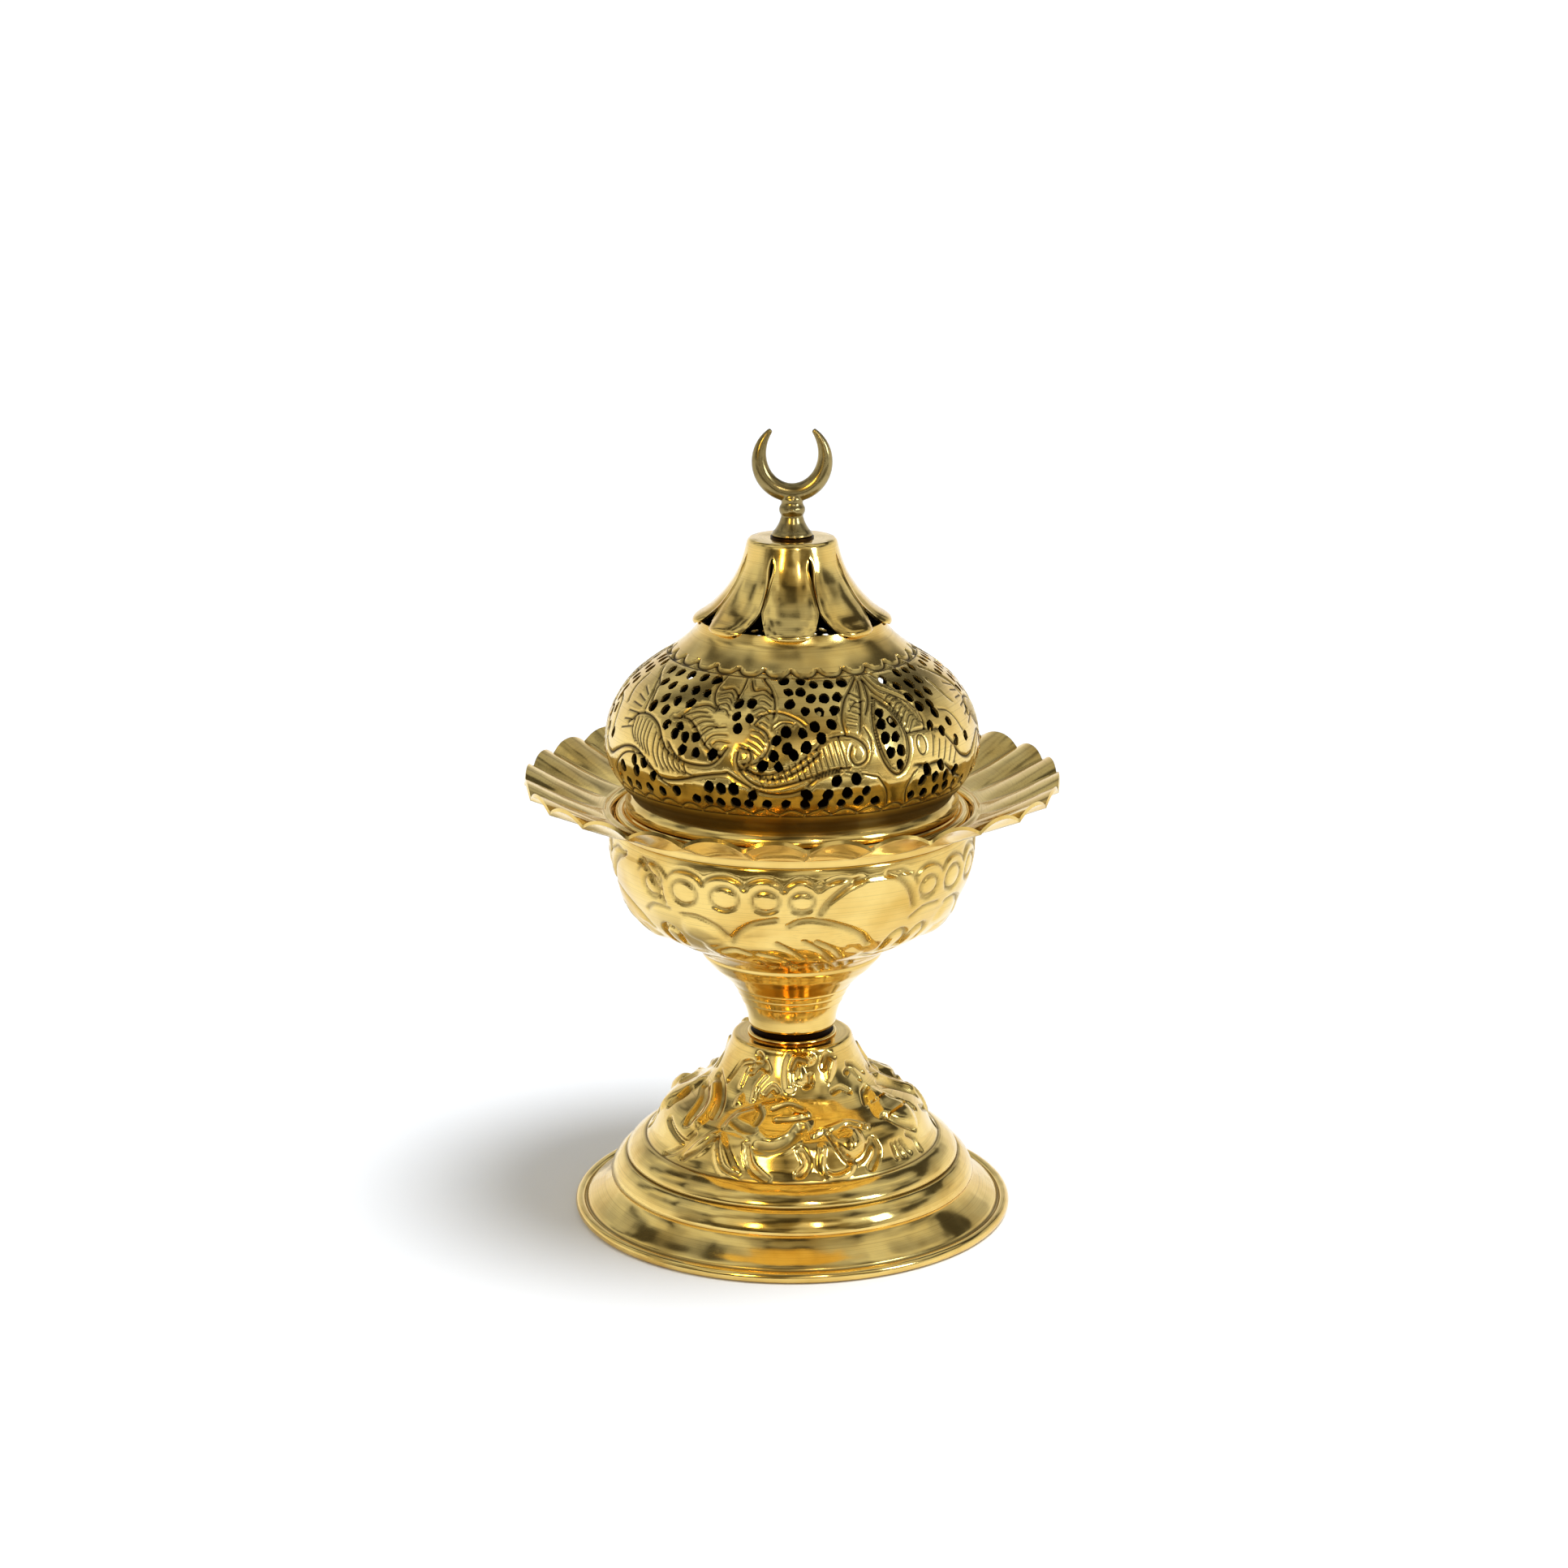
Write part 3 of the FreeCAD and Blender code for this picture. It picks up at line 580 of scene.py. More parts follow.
def foot_ornament(start):
    """Flower, scrolls, buds and leaves embossed round the foot, three times over."""
    art = Ornament(((0, 1), (135, 0.72), (225, 0.72)), start, 1.3)
    # The open flower and its folds.
    art.pillow([(-35, 23), (-35, 29), (-27, 32), (-16, 34.5), (-4, 35.5), (6, 33.5), (12, 30), (11, 26),
                (6, 23), (2, 19.5), (-7, 17), (-15, 18), (-19, 21), (-27, 22.5)], 1.3, 3.0)
    art.strokes_of(0.9, 0.6, [(-31, 25), (-24, 23.5), (-18, 23)], [(-21, 32), (-17, 29), (-18, 25)],
                   [(-11, 31), (-2, 33), (6, 32)], [(-8, 27), (2, 27.5), (10, 29)])
    art.stroke([(-15, 19), (-8, 18.8), (-1, 21), (4, 25)], 1.5, 1.0)
    # Radiating leaves under the flower.
    art.pillow([(-50, 12), (-44, 18), (-36, 22), (-37, 17), (-43, 13)], 0.9, 1.5)
    art.pillow([(-35, 21.5), (-34, 15), (-29, 10.5), (-20, 10.5), (-24, 15), (-30, 20)], 0.9, 1.5)
    art.strokes_of(0.7, 0.7, [(-49, 12), (-42, 15), (-36, 20)], [(-34, 20), (-29, 13), (-21, 11)])
    art.strokes_of(1.1, 0.9, [(-20, 19.5), (-17, 14), (-10, 11)], [(3, 12.5), (6, 15), (4, 18.5)],
                   [(33, 12), (38, 15.5), (37, 19)])
    # C-scroll with its bead, and the leaf beside it.
    art.stroke([(-2, 38), (-3, 42), (0, 46), (8, 47), (16, 45.5)], 1.6, -0.9)
    art.strokes_of(0.9, 0.7, [(0, 43), (4, 45.5), (12, 45)], [(10, 38.5), (14, 39), (15, 41)])
    art.pillow([(1, 40), (3, 44), (9, 44), (12, 41), (8, 38.5)], 0.8, 2.0)
    art.pillow([(27, 40), (29, 45), (36, 47.3), (44, 46), (42, 43), (35, 40), (29, 38)], 0.9, 1.8)
    art.stroke([(28, 43), (34, 45.5), (40, 45)], 1.1, 0.9)
    # Bud and its calyx.
    art.pillow([(21, 20), (23, 24), (28, 25), (33, 23), (33, 18), (28, 15.5), (23, 16)], 1.3, 2.8)
    art.stroke([(17, 24), (20, 19), (24, 15), (30, 15), (35, 18)], 0.9, 0.8)
    art.stroke([(13, 19), (12, 14), (16, 11), (23, 12), (26, 15)], 1.0, -0.7)
    art.stroke([(10, 23), (20, 25), (30, 26), (38, 23)], 1.0, -0.6)
    # Left-hand leaf with its bold arcs.
    art.strokes_of(1.4, 0.9, [(-72, 37), (-60, 35), (-50, 31), (-45, 26)],
                   [(-78, 32), (-67, 30), (-60, 26), (-56, 21)])
    art.stroke([(-66, 34), (-57, 31), (-51, 26), (-50, 22)], 1.8, -0.8)
    art.strokes_of(0.9, 0.8, [(-70, 19), (-60, 17), (-52, 16)], [(-60, 11), (-53, 14), (-48, 19)])
    # Stems and buds above the flower.
    art.strokes_of(0.8, -0.6, [(-41, 37), (-40, 41), (-34, 44), (-26, 45)], [(-27, 34), (-27, 38), (-20, 42)])
    art.strokes_of(0.9, 0.8, [(-35, 41), (-30, 43), (-24, 43)], [(-32, 46), (-26, 44.5), (-20, 42)],
                   [(-20, 36), (-15, 38), (-11, 37)], [(-56, 37), (-50, 42), (-42, 43.5), (-35, 43.5)])
    art.pillow([(-39, 31), (-40, 34), (-36, 35), (-33, 32)], 0.7, 1.2)
    # Right-hand leaves and the short hatches under them.
    art.pillow([(48, 25), (54, 31), (62, 34), (72, 32), (76, 24), (68, 17), (58, 20)], 0.9, 3.0)
    art.strokes_of(1.0, 0.8, [(50, 30), (55, 33), (62, 34)], [(52, 24), (58, 20), (65, 17)],
                   [(70, 28), (75, 25), (77, 21)])
    art.strokes_of(0.8, 0.7, [(48, 40), (55, 40.5), (60, 37)], [(54, 42), (63, 41), (70, 38)],
                   [(30, 36), (38, 36.5), (44, 35)])
    art.hatch([(47, 12.5), (46.5, 16.5)], [(55, 12.5), (52, 16.5)], 3, 0.7, 0.5)
    art.stroke([(58, 17), (62, 15), (62, 11.5)], 0.9, 0.6)
    return art


class BURNER_OT_foot(bpy.types.Operator):
    """Spin the foot from sheet, turn its ridges and emboss its flowers"""

    bl_idname = "burner.add_foot"
    bl_label = "Foot"

    def execute(self, context):
        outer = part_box("foot")[1][0] / MM
        height = top("foot")
        roll = 1.5
        line = Profile([
            bead((outer - roll, roll - 0.1), roll, -170, 145, floor=0.0),
            # The skirt, then two rounded bands with a sharp line above each.
            [(55.7, 2.5), (54.4, 3.6), (52.4, 5.0), (50.3, 6.6), (48.9, 7.9), (48.4, 8.5)],
            [(48.7, 8.9), (48.8, 9.9), (48.3, 11.4), (47.3, 13.0), (46.0, 14.3), (45.2, 14.8)],
            [(44.6, 15.0)],
            [(44.6, 15.5), (44.0, 16.7), (42.7, 18.1), (41.0, 19.3), (39.9, 19.8)],
            [(39.4, 20.0)],
            [(38.6, 20.8), (37.4, 22.3), (36.6, 24.0), (35.7, 26.0),
             (34.4, 28.0), (32.3, 29.9), (29.6, 31.2), (26.4, 32.8), (24.2, 34.4), (22.2, 36.2), (20.6, 38.2),
             (19.2, 40.4), (18.0, 42.6), (17.1, 44.6), (16.3, 46.6)],
            [(16.1, height - 0.9), (15.7, height - 0.2), (15.0, height)],
            [(2.75, height)],
        ], 0.42)
        art = foot_ornament(line.run_at(37.4, 22.3) - 13.0)
        for radius, place in ((55.6, 2.6), (44.6, 15.2), (39.4, 20.0)):
            art.ring(line.run_at(radius, place), 0.6, 0.25)
        piece = lathe("chased_foot", line.sheet(mm("foot_wall")), 0, 400)
        chase(piece, line, 0, art, 0.75)
        finish(piece, "stand", material("chased_brass"), "chased_brass", "foot", angle=60)
        return {"FINISHED"}


# ---------------------------------------------------------------- neck and bowl

class BURNER_OT_spacer(bpy.types.Operator):
    """Turn the ring under the neck: a bright flange and a recess darkened as painted shade"""

    bl_idname = "burner.add_spacer"
    bl_label = "Neck spacer"

    def execute(self, context):
        height = top("neck_spacer") - seat("neck_spacer")
        flange = 0.8
        line = Profile([
            [(2.75, 0)], [(11.5, 0), (11.8, 0.3), (11.8, 0.55), (11.5, flange)], [(10.4, flange)],
            [(10.4, height)], [(2.75, height)],
        ], 0.3)
        piece = lathe("neck_ring", list(zip(line.radius, line.height)), seat("neck_spacer"), 128)
        turn, radius, place = polar(piece)
        # The recess above the flange is darkened: painted shade under the neck.
        stain_and_shade(piece, (place > seat("neck_spacer") + flange - 0.05) & (radius < 11.2))
        finish(piece, "stand", material("spun_brass"), "dark_brass", "neck_spacer")
        return {"FINISHED"}


class BURNER_OT_neck(bpy.types.Operator):
    """Spin the trumpet neck with its fine turned ridges"""

    bl_idname = "burner.add_neck"
    bl_label = "Neck"

    def execute(self, context):
        height = top("neck") - seat("neck")
        line = Profile([
            [(2.75, 0)],
            [(10.9, 0), (11.5, 0.5), (11.7, 1.6), (12.0, 3.4), (12.6, 5.4), (13.3, 7.0)],
            [(13.6, 7.3), (13.6, 7.6), (14.3, 9.2)],
            [(14.65, 9.5), (14.6, 9.8), (15.3, 11.2)],
            [(15.7, 11.5), (15.7, 11.9), (17.1, 13.4), (19.1, 15.4), (21.2, 17.2), (22.4, 18.6), (23.3, 19.6),
             (24.0, 20.6), (24.1, height)],
        ], 0.3)
        piece = lathe("trumpet_neck", line.sheet(0.9), seat("neck"), 224)
        finish(piece, "stand", material("spun_brass"), "polished_brass", "neck")
        return {"FINISHED"}


BOWL_COPIES = (-33, 62, 152, 242)       # where the bowl's drawing is repeated
BOWL_ARCHES = (-21.5, -8.5, 5, 18.5, 30.5, 41)       # the turns where two scallops meet


def bowl_ornament(start):
    """Ovals under a scalloped line, with leaves and broad arcs below, four times round."""
    art = Ornament([(centre, 1) for centre in BOWL_COPIES], start, 1.15)
    # A row of five ovals, each under its own arch.
    for centre, size in ((-15, 0.9), (-2, 1.08), (12, 1.05), (25, 0.95), (36, 0.85)):
        w, h = 4.4 * size, 3.0 * size
        oval = [(centre + w * math.cos(a), 37.2 + h * math.sin(a)) for a in np.arange(0, 6.28, 6.283 / 10)]
        art.stroke(oval, 0.75, 0.45, closed=True)
        art.pillow([(centre + (t - centre) * 0.7, 37.2 + (s - 37.2) * 0.7) for t, s in oval], 0.22, 2.4)
        art.stroke([(centre - w * 0.8, 34.6), (centre, 33.6), (centre + w * 0.8, 34.9)], 0.7, 0.25)
    for low, high in zip(BOWL_ARCHES, BOWL_ARCHES[1:]):
        middle = (low + high) / 2
        art.stroke([(low, 40.2), (low + 2.5, 42.3), (middle, 43.2), (high - 2.5, 42.3), (high, 40.2)],
                   0.7, 0.2)
    # Leaves that turn out at the ends of the row.
    art.stroke([(41.5, 33.5), (44, 37), (49, 40.5), (54, 42.3)], 1.3, 0.7)
    art.stroke([(41, 40.5), (46, 42.8), (50, 42.8), (53, 42)], 0.7, 0.3)
    art.stroke([(64, 42.8), (68, 41), (72, 37), (74, 33)], 1.2, 0.7)
    art.stroke([(64, 43.2), (69, 43.3), (73, 41), (74.5, 39)], 0.7, 0.3)
    # Broad arcs of the second tier.
    art.stroke([(13, 24), (16, 27.5), (21, 30.5), (28, 32)], 1.2, 0.6)
    art.stroke([(32, 30), (36, 31.8), (42, 31.5), (50, 29), (56, 26), (60, 22)], 1.2, 0.6)
    art.stroke([(-4, 30.5), (2, 30.8), (8, 28.5), (11, 25.5)], 0.8, 0.45)
    art.stroke([(-21, 29), (-16, 31.5), (-9, 31.5)], 0.8, 0.3)
    art.pillow([(-6, 24), (-4, 29.5), (3, 30), (9, 27), (11, 24), (3, 21)], 0.5, 3.0)
    art.pillow([(33, 28), (40, 30.3), (50, 27.5), (57, 23), (50, 21), (38, 24)], 0.5, 3.0)
    # Large leaf under the arcs, with veins.
    art.pillow([(0, 22), (8, 24.5), (20, 25.5), (34, 27.5), (46, 26), (55, 21), (60, 17), (48, 10), (32, 7),
                (14, 9), (2, 15)], 0.9, 4.5)
    art.strokes_of(0.9, 0.55, [(28, 24.5), (33, 22), (37, 18)], [(37, 25.5), (43, 22), (48, 16)],
                   [(41, 25.5), (47, 22.5), (51, 18)], [(21, 20.5), (29, 18), (34, 12)],
                   [(8, 20), (13, 21.5), (18, 20)], [(6, 17), (10, 13), (13, 7)],
                   [(20, 16), (22, 10), (22, 4)],
                   [(30, 14), (33, 8), (34, 3)], [(42, 14), (46, 9), (49, 3)])
    # Small loops beside the leaf, and notches at the bottom edge.
    for centre in (-13, 72):
        art.stroke([(centre - 4, 17), (centre - 3.5, 23), (centre, 25.2), (centre + 3.5, 23),
                    (centre + 3, 18)],
                   1.0, 0.6)
    art.hatch([(44, 6), (49, 1.5)], [(60, 9), (66, 4)], 4, 0.9, 0.6)
    art.strokes_of(1.0, 0.5, [(-24, 14), (-14, 12), (-4, 15)], [(62, 15), (70, 12), (78, 14)],
                   [(-30, 8), (-16, 6), (-4, 9)])
    return art


def bowl_step(turn, run):
    """The chased band stands out under its scalloped edge and fades towards the leaves."""
    local = np.full(len(turn), 60.0)
    for centre in BOWL_COPIES:
        away = (turn - centre + 180) % 360 - 180
        local = np.where((away >= BOWL_ARCHES[0]) & (away < BOWL_ARCHES[-1]), away, local)
    edge = np.full(len(turn), 42.2)
    for low, high in zip(BOWL_ARCHES, BOWL_ARCHES[1:]):
        across = np.clip((2 * local - low - high) / (high - low), -1, 1)
        edge = np.where((local >= low) & (local < high), 40.0 + 2.9 * np.sqrt(1 - across ** 2), edge)
    under = edge - run
    return 0.5 * np.clip(under / 0.6, 0, 1) * np.clip(1 - under / 7, 0, 1)


class BURNER_OT_bowl(bpy.types.Operator):
    """Spin the bowl and chase its ovals and leaves"""

    bl_idname = "burner.add_bowl"
    bl_label = "Bowl"

    def execute(self, context):
        base = seat("bowl")
        height = top("bowl") - base
        body = [(24.2, 0), (26.4, 1.9), (29.8, 4.0), (33.6, 6.0), (37.0, 8.0), (39.7, 10.0), (41.7, 12.0),
                (43.2, 14.0), (45.4, 18.0), (47.0, 22.0), (47.7, 26.0), (47.85, 28.6), (47.7, 32.0),
                (47.3, 34.2)]
        line = Profile([[(2.75, 0)], body, [(47.0, 34.9), (46.5, height)], [(44.6, height)]], 0.42)
        start = line.run_at(24.2, 0)
        piece = lathe("chased_bowl", line.sheet(mm("bowl_wall")), base, 420)
        chase(piece, line, base, bowl_ornament(start), 0.55, lambda turn, run: bowl_step(turn, run - start))
        # A dark line where the plate lies on the rim.
        turn, radius, place = polar(piece)
        blacken(piece, (place > top("bowl") - 0.5) & (radius > 45.5), 0.9)
        finish(piece, "stand", material("chased_brass"), "chased_brass", "bowl", angle=60)
        return {"FINISHED"}


# ---------------------------------------------------------------- plate and cup

class BURNER_OT_plate(bpy.types.Operator):
    """Spin the drip plate and press its flutes"""

    bl_idname = "burner.add_plate"
    bl_label = "Fluted plate"

    def execute(self, context):
        base = seat("plate")
        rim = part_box("plate")[1][0] / MM
        wall = mm("plate_wall")
        depth = mm("flute_depth")
        rise = top("plate") - base - depth - 0.05
        valley = [(49.4, 3.2), (52.5, 4.0), (56.5, 5.3), (61.0, 7.0), (65.5, 8.9), (rim - 0.35, rise)]
        upper = [[(44.0, wall), (46.4, wall)], [(47.0, 1.5), (47.2, 2.6), (47.7, 3.5), (48.4, 3.7)], valley]
        face = Profile(upper, 0.6)
        under = [(r + 0.25, z - wall) if r > 48.5 else (r, z) for r, z in valley[::-1]]
        below = Profile([[(rim - 0.1, rise - wall)],
                         under[1:] + [(49.3, 2.6), (48.7, 2.1), (48.35, 1.2), (48.1, 0.3)],
                         [(47.9, 0)], [(44.0, 0)]], 0.7)
        outline = list(zip(face.radius, face.height)) + list(zip(below.radius, below.height))
        count = number("flutes")
        piece = lathe("fluted_plate", outline, base, count * 16)
        turn, radius, height = polar(piece)
        # A ridge is a low arch between two sharp valleys, and it grows towards the edge.
        across = ((turn - 3.1) / 360 * count) % 1 * 2 - 1
        arch = 1 - np.abs(across) ** 2.2
        growth = np.clip((radius - 49.0) / (rim - 49.0), 0, 1)
        group = weigh(piece, "ridge", arch * growth ** 0.85)
        apply_modifier(piece, "DISPLACE", vertex_group=group, strength=depth * MM, mid_level=0, direction="Z")
        piece.vertex_groups.clear()
        # The valleys are darkened towards the edge: painted shade in the creases between flutes.
        stain_and_shade(piece, 0.55 * np.clip(1 - arch / 0.16, 0, 1) * np.clip(growth * 4, 0, 1) * (height > base + 3))
        finish(piece, "plate", material("spun_brass"), "polished_brass", "plate", angle=50)
        return {"FINISHED"}


class BURNER_OT_cup(bpy.types.Operator):
    """Spin the charcoal cup with its rolled rim and ledge"""

    bl_idname = "burner.add_cup"
    bl_label = "Charcoal cup"

    def execute(self, context):
        base = seat("charcoal_cup") + 24.2
        roll = 1.3
        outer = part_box("charcoal_cup")[1][0] / MM
        line = Profile([
            [(0.0, -24.2), (20.0, -24.2)],
            [(24.5, -23.6), (30.0, -20.6), (36.0, -15.0), (40.2, -9.0), (42.3, -3.0), (42.4, 2.0)],
            [(43.9, 2.0)],
            bead((outer - roll, roll), roll, 200, 520, 24),
            [(44.1, 2.9), (43.8, 2.8)],
            [(41.6, 2.8)],
            [(41.6, -3.0), (39.5, -8.6), (35.4, -14.4), (29.6, -19.8), (24.3, -22.8), (20.0, -23.4)],
            [(0.0, -23.4)],
        ], 0.7)
        piece = lathe("charcoal_liner", list(zip(line.radius, line.height)), base, 192, closed=False)
        # The inside is blackened: soot, and painted shade under the lid.
        sooty_and_shaded = line.run >= line.run_at(41.6, 2.8)
        soot_and_shade = {(round(r, 1), round(z, 1)) for r, z in zip(line.radius[sooty_and_shaded], line.height[sooty_and_shaded])}
        turn, radius, height = polar(piece)
        stain_and_shade(piece, [(round(r, 1), round(z - base, 1)) in soot_and_shade for r, z in zip(radius, height)])
        finish(piece, "cup", material("spun_brass"), "polished_brass", "charcoal_cup")
        return {"FINISHED"}


# ---------------------------------------------------------------- lid

class BURNER_OT_hem(bpy.types.Operator):
    """Spin the lid's hem and its skirt"""

    bl_idname = "burner.add_hem"
    bl_label = "Lid hem"

    def execute(self, context):
        base = seat("lid_seat_ring") + 4.0
        outline = Profile([
            [(40.4, -4.0)], [(41.2, -4.0)], [(41.2, 0.0)],
            [(42.6, 0.0), (43.5, 0.3), (43.8, 1.0), (43.6, 2.0), (43.0, 3.0), (42.2, 3.9)], [(42.0, 4.0)],
            [(40.4, 4.0)],
        ], 0.4)
        piece = lathe("lid_hem", list(zip(outline.radius, outline.height)), base, 192)
        turn, radius, height = polar(piece)
        # The inner wall is darkened: painted shade inside the lid.
        stain_and_shade(piece, radius < 40.6)
        finish(piece, "lid", material("spun_brass"), "polished_brass", "lid_seat_ring")
        return {"FINISHED"}


DOME_LINE = [
    [(42.0, 0.0), (42.0, 0.5)],
    [(44.6, 3.0), (47.2, 7.0), (48.6, 10.8), (48.95, 13.6), (48.2, 19.0), (46.8, 23.0), (44.5, 27.0),
     (41.2, 30.9), (36.4, 34.6), (32.1, 37.3), (28.3, 40.2), (25.4, 43.0), (24.1, 44.7)],
    [(24.1, 46.0)],
]
DOME_METRIC = 46.0       # radius at which the dome's drawing is laid out flat

# Rows of pierced holes: run, first turn, last turn, count.
HOLE_ROWS = (
    # left of the flower
    (43.8, -62, -33, 5), (39.3, -58, -33.5, 5), (35.4, -50.5, -38, 3), (32.0, -54, -47.5, 2),
    (28.5, -44, -38, 2), (26.5, -39, -31, 3), (22.8, -35, -24.5, 3),
    # heart of the flower
    (37.0, -19, -14.5, 2), (33.0, -18.8, -14, 2), (29.9, -17.8, -17.8, 1),
    # middle field
    (45.0, -3.5, 3.5, 2), (43.8, 9, 21.5, 3), (41.2, -1.5, 3, 2), (39.2, 7, 17.5, 3), (37.4, -1, -1, 1),
    (35.0, 4.6, 14.5, 3), (31.0, 7, 13, 2), (29.3, -2, 3, 2), (27.6, -5, 9, 2), (25.6, -1.2, 4.5, 2),
    (23.4, -5.5, 0.6, 2), (20.8, -8.5, -4, 2),
    # pointed oval
    (33.2, 31, 31, 1), (30.2, 29.6, 33.8, 2), (26.3, 29.8, 34, 2), (22.6, 30.8, 34.8, 2),
    (19.0, 33.6, 33.6, 1),
    # right of the leaves
    (44.4, 51, 64, 3), (42.8, 41, 41, 1), (40.2, 45, 59, 3), (36.0, 46.2, 57.8, 3), (32.6, 48.4, 54, 2),
    (30.2, 54.2, 54.2, 1), (27.2, 48.6, 59, 2), (25.2, 54, 54, 1), (21.6, 59.5, 67, 2),
    # arched fields along the bottom
    (17.6, -55, -50, 2), (14.6, -61, -45.5, 3), (10.8, -65, -42.5, 5), (11.8, -36.4, -36.4, 1),
    (10.6, -30, -13, 5), (14.4, -25.2, -17, 3), (13.0, -11.4, -11.4, 1), (10.8, -7.4, 25.6, 7),
    (13.6, 4.4, 22, 4), (16.8, 12.8, 18.8, 2), (10.5, 38.6, 64, 6), (14.0, 42, 57.6, 4), (16.8, 44.2, 50, 2),
)
DOME_COPIES = ((0, 1.0), (125, 0.79), (235, 0.79))


def dome_ornament():
    """Engraved scrolls, leaves and flower of the dome."""
    art = Ornament(DOME_COPIES)
    line = art.strokes_of
    cut, fine, bold = (0.44, 0.16), (0.46, 0.26), (0.72, 0.44)
    # Far-left hatched leaf.
    line(*fine, [(-70, 43), (-64, 39.5), (-59, 35), (-57, 30)], [(-66, 41), (-60, 38), (-56, 33)])
    art.hatch([(-66, 36), (-61, 34.5)], [(-66, 24), (-59.5, 25.5)], 6, *cut)
    # Long hatched leaf at the left, over the bottom arch.
    line(*bold, [(-63, 26), (-59, 29.2), (-53, 29.6), (-47, 27.5), (-42, 22.6), (-36, 20)],
         [(-69, 17), (-61, 20), (-54, 20.2), (-48, 17), (-42, 14.8), (-36, 15), (-28, 17), (-20, 18.3)])
    art.hatch([(-60, 28), (-59, 24.5), (-56, 22)], [(-50, 27.5), (-50, 23), (-48, 20)], 6, *cut)
    art.hatch([(-47, 26), (-46.5, 21), (-44, 17.5)], [(-34, 19.5), (-33, 17.5), (-31, 17)], 7, *cut)
    # Pierced leaf beside it.
    line(*bold, [(-41, 24), (-36, 20.5), (-30, 19.6), (-24, 20.4), (-20, 24.8)],
         [(-42, 30.5), (-36, 31), (-31, 28), (-27, 24.5), (-22, 22.5)])
    # Flower: left lobes.
    line(*bold, [(-40, 31), (-36, 34.2), (-31, 35.6), (-27, 34.6)],
         [(-30, 45.5), (-31, 41), (-29, 37), (-26, 35)],
         [(-28, 41), (-24, 41.8), (-21, 39.5), (-20, 36)])
    art.hatch([(-38, 31.6), (-34, 33.2), (-30, 33.4)], [(-31, 27.5), (-28, 29.6), (-25, 30)], 4, *cut)
    art.hatch([(-27.5, 39.5), (-24, 40.2), (-21.5, 38)], [(-27, 34), (-24, 35), (-22, 33.5)], 4, *cut)
    art.hatch([(-30, 26.5), (-27, 29), (-22, 30)], [(-26, 23.2), (-24, 26), (-20, 26)], 3, *cut)
    # Flower: right lobe with its ribs.
    line(*bold, [(-20, 45.5), (-20, 41.5), (-21, 38.5)], [(-17.5, 45), (-15, 41.6), (-11, 42.2), (-7.5, 40)],
         [(-12, 45.5), (-8.5, 42.5), (-6.3, 38), (-6.2, 33.5)])
    art.hatch([(-15, 39.4), (-11, 40.4), (-7.5, 38.6)], [(-11.5, 31), (-10, 32), (-8, 31)], 5, *cut)
    # Round leaf and its curl at the middle.
    line(*bold, [(-12.5, 31.5), (-9.5, 34.2), (-4, 34.8), (1.5, 33), (4.4, 31)],
         [(-16, 25), (-13, 24.3), (-12.5, 21.8), (-15, 21)],
         [(-12, 31), (-8.4, 29.4), (-7, 26), (-9, 22.5), (-13, 20.5)])
    art.hatch([(-12.5, 29.5), (-10, 29), (-8, 27)], [(-13.5, 25), (-11.5, 24), (-9.5, 22.8)], 4, *cut)
    line(*fine, [(-5.5, 30.5), (-3, 32), (1, 31.6)], [(-4.8, 29.3), (-2.4, 30.7), (0.5, 31)])
    # The big scroll: a double line from curl to curl, ribbed underneath.
    line(*bold, [(-16.5, 24), (-16.3, 20.5), (-11, 18.6), (-5, 18.8), (1, 21), (7, 25), (12, 27.8), (18, 28),
                 (22.5, 25.5), (22.8, 21.8), (19.4, 20.4), (17.6, 22.6), (18.6, 25.4)],
         [(-14.5, 20.6), (-9, 17.6), (-3, 17.8), (3, 20.2), (8.4, 24)],
         [(-16, 19.5), (-12, 16.4), (-7, 15.2), (-1, 16.2), (5, 17.8), (11, 19.4), (17.4, 20)])
    art.hatch([(-9.5, 17.3), (-8.5, 15.8)], [(14.5, 27.4), (16.2, 20.6)], 15, *cut)
    line(*bold, [(-19.5, 18.6), (-14.5, 16.2), (-9, 14), (-3, 13.4), (2.5, 14.6), (8, 18), (14, 19.4)])
    # Acanthus leaf to its right.
    line(*bold, [(17, 28.5), (16.8, 33), (19.4, 38), (24, 42), (28.6, 45.5)],
         [(28.8, 44), (26.4, 39), (24, 34), (22, 29)],
         [(31, 44.6), (30, 40.4), (28.4, 37), (25.6, 33.4)])
    art.hatch([(18, 31), (21, 30.4)], [(23, 40), (25.6, 38.6)], 6, *cut)
    line(*fine, [(20, 35), (23, 37), (27, 37.4)], [(23.5, 30), (25, 27), (24.6, 24)])
    # Pointed oval with a double border.
    oval = [(31, 38.5), (27.8, 33), (26.8, 27), (28.4, 20.5), (32.6, 16.8), (36.6, 19.4), (38.4, 25.5),
            (37, 32), (33.4, 36.4)]
    art.stroke(oval + [oval[0]], *bold)
    art.stroke([(32.4 + (t - 32.4) * 0.84, 27 + (s - 27) * 0.88) for t, s in oval + [oval[0]]], *fine)
    # Leaf arching over the oval, and its ribs.
    line(*bold, [(33, 45.4), (35, 41), (39.6, 38.4), (44.4, 35), (47, 30.5), (46.4, 27.4)],
         [(37, 46), (40, 42), (44.2, 38.4), (47, 36)], [(31.6, 44.6), (32.4, 40), (35.8, 36.4), (38.6, 31)])
    art.hatch([(35.4, 36.8), (38.6, 38), (41, 36.6)], [(39.6, 27), (43, 30), (46, 28.6)], 7, *cut)
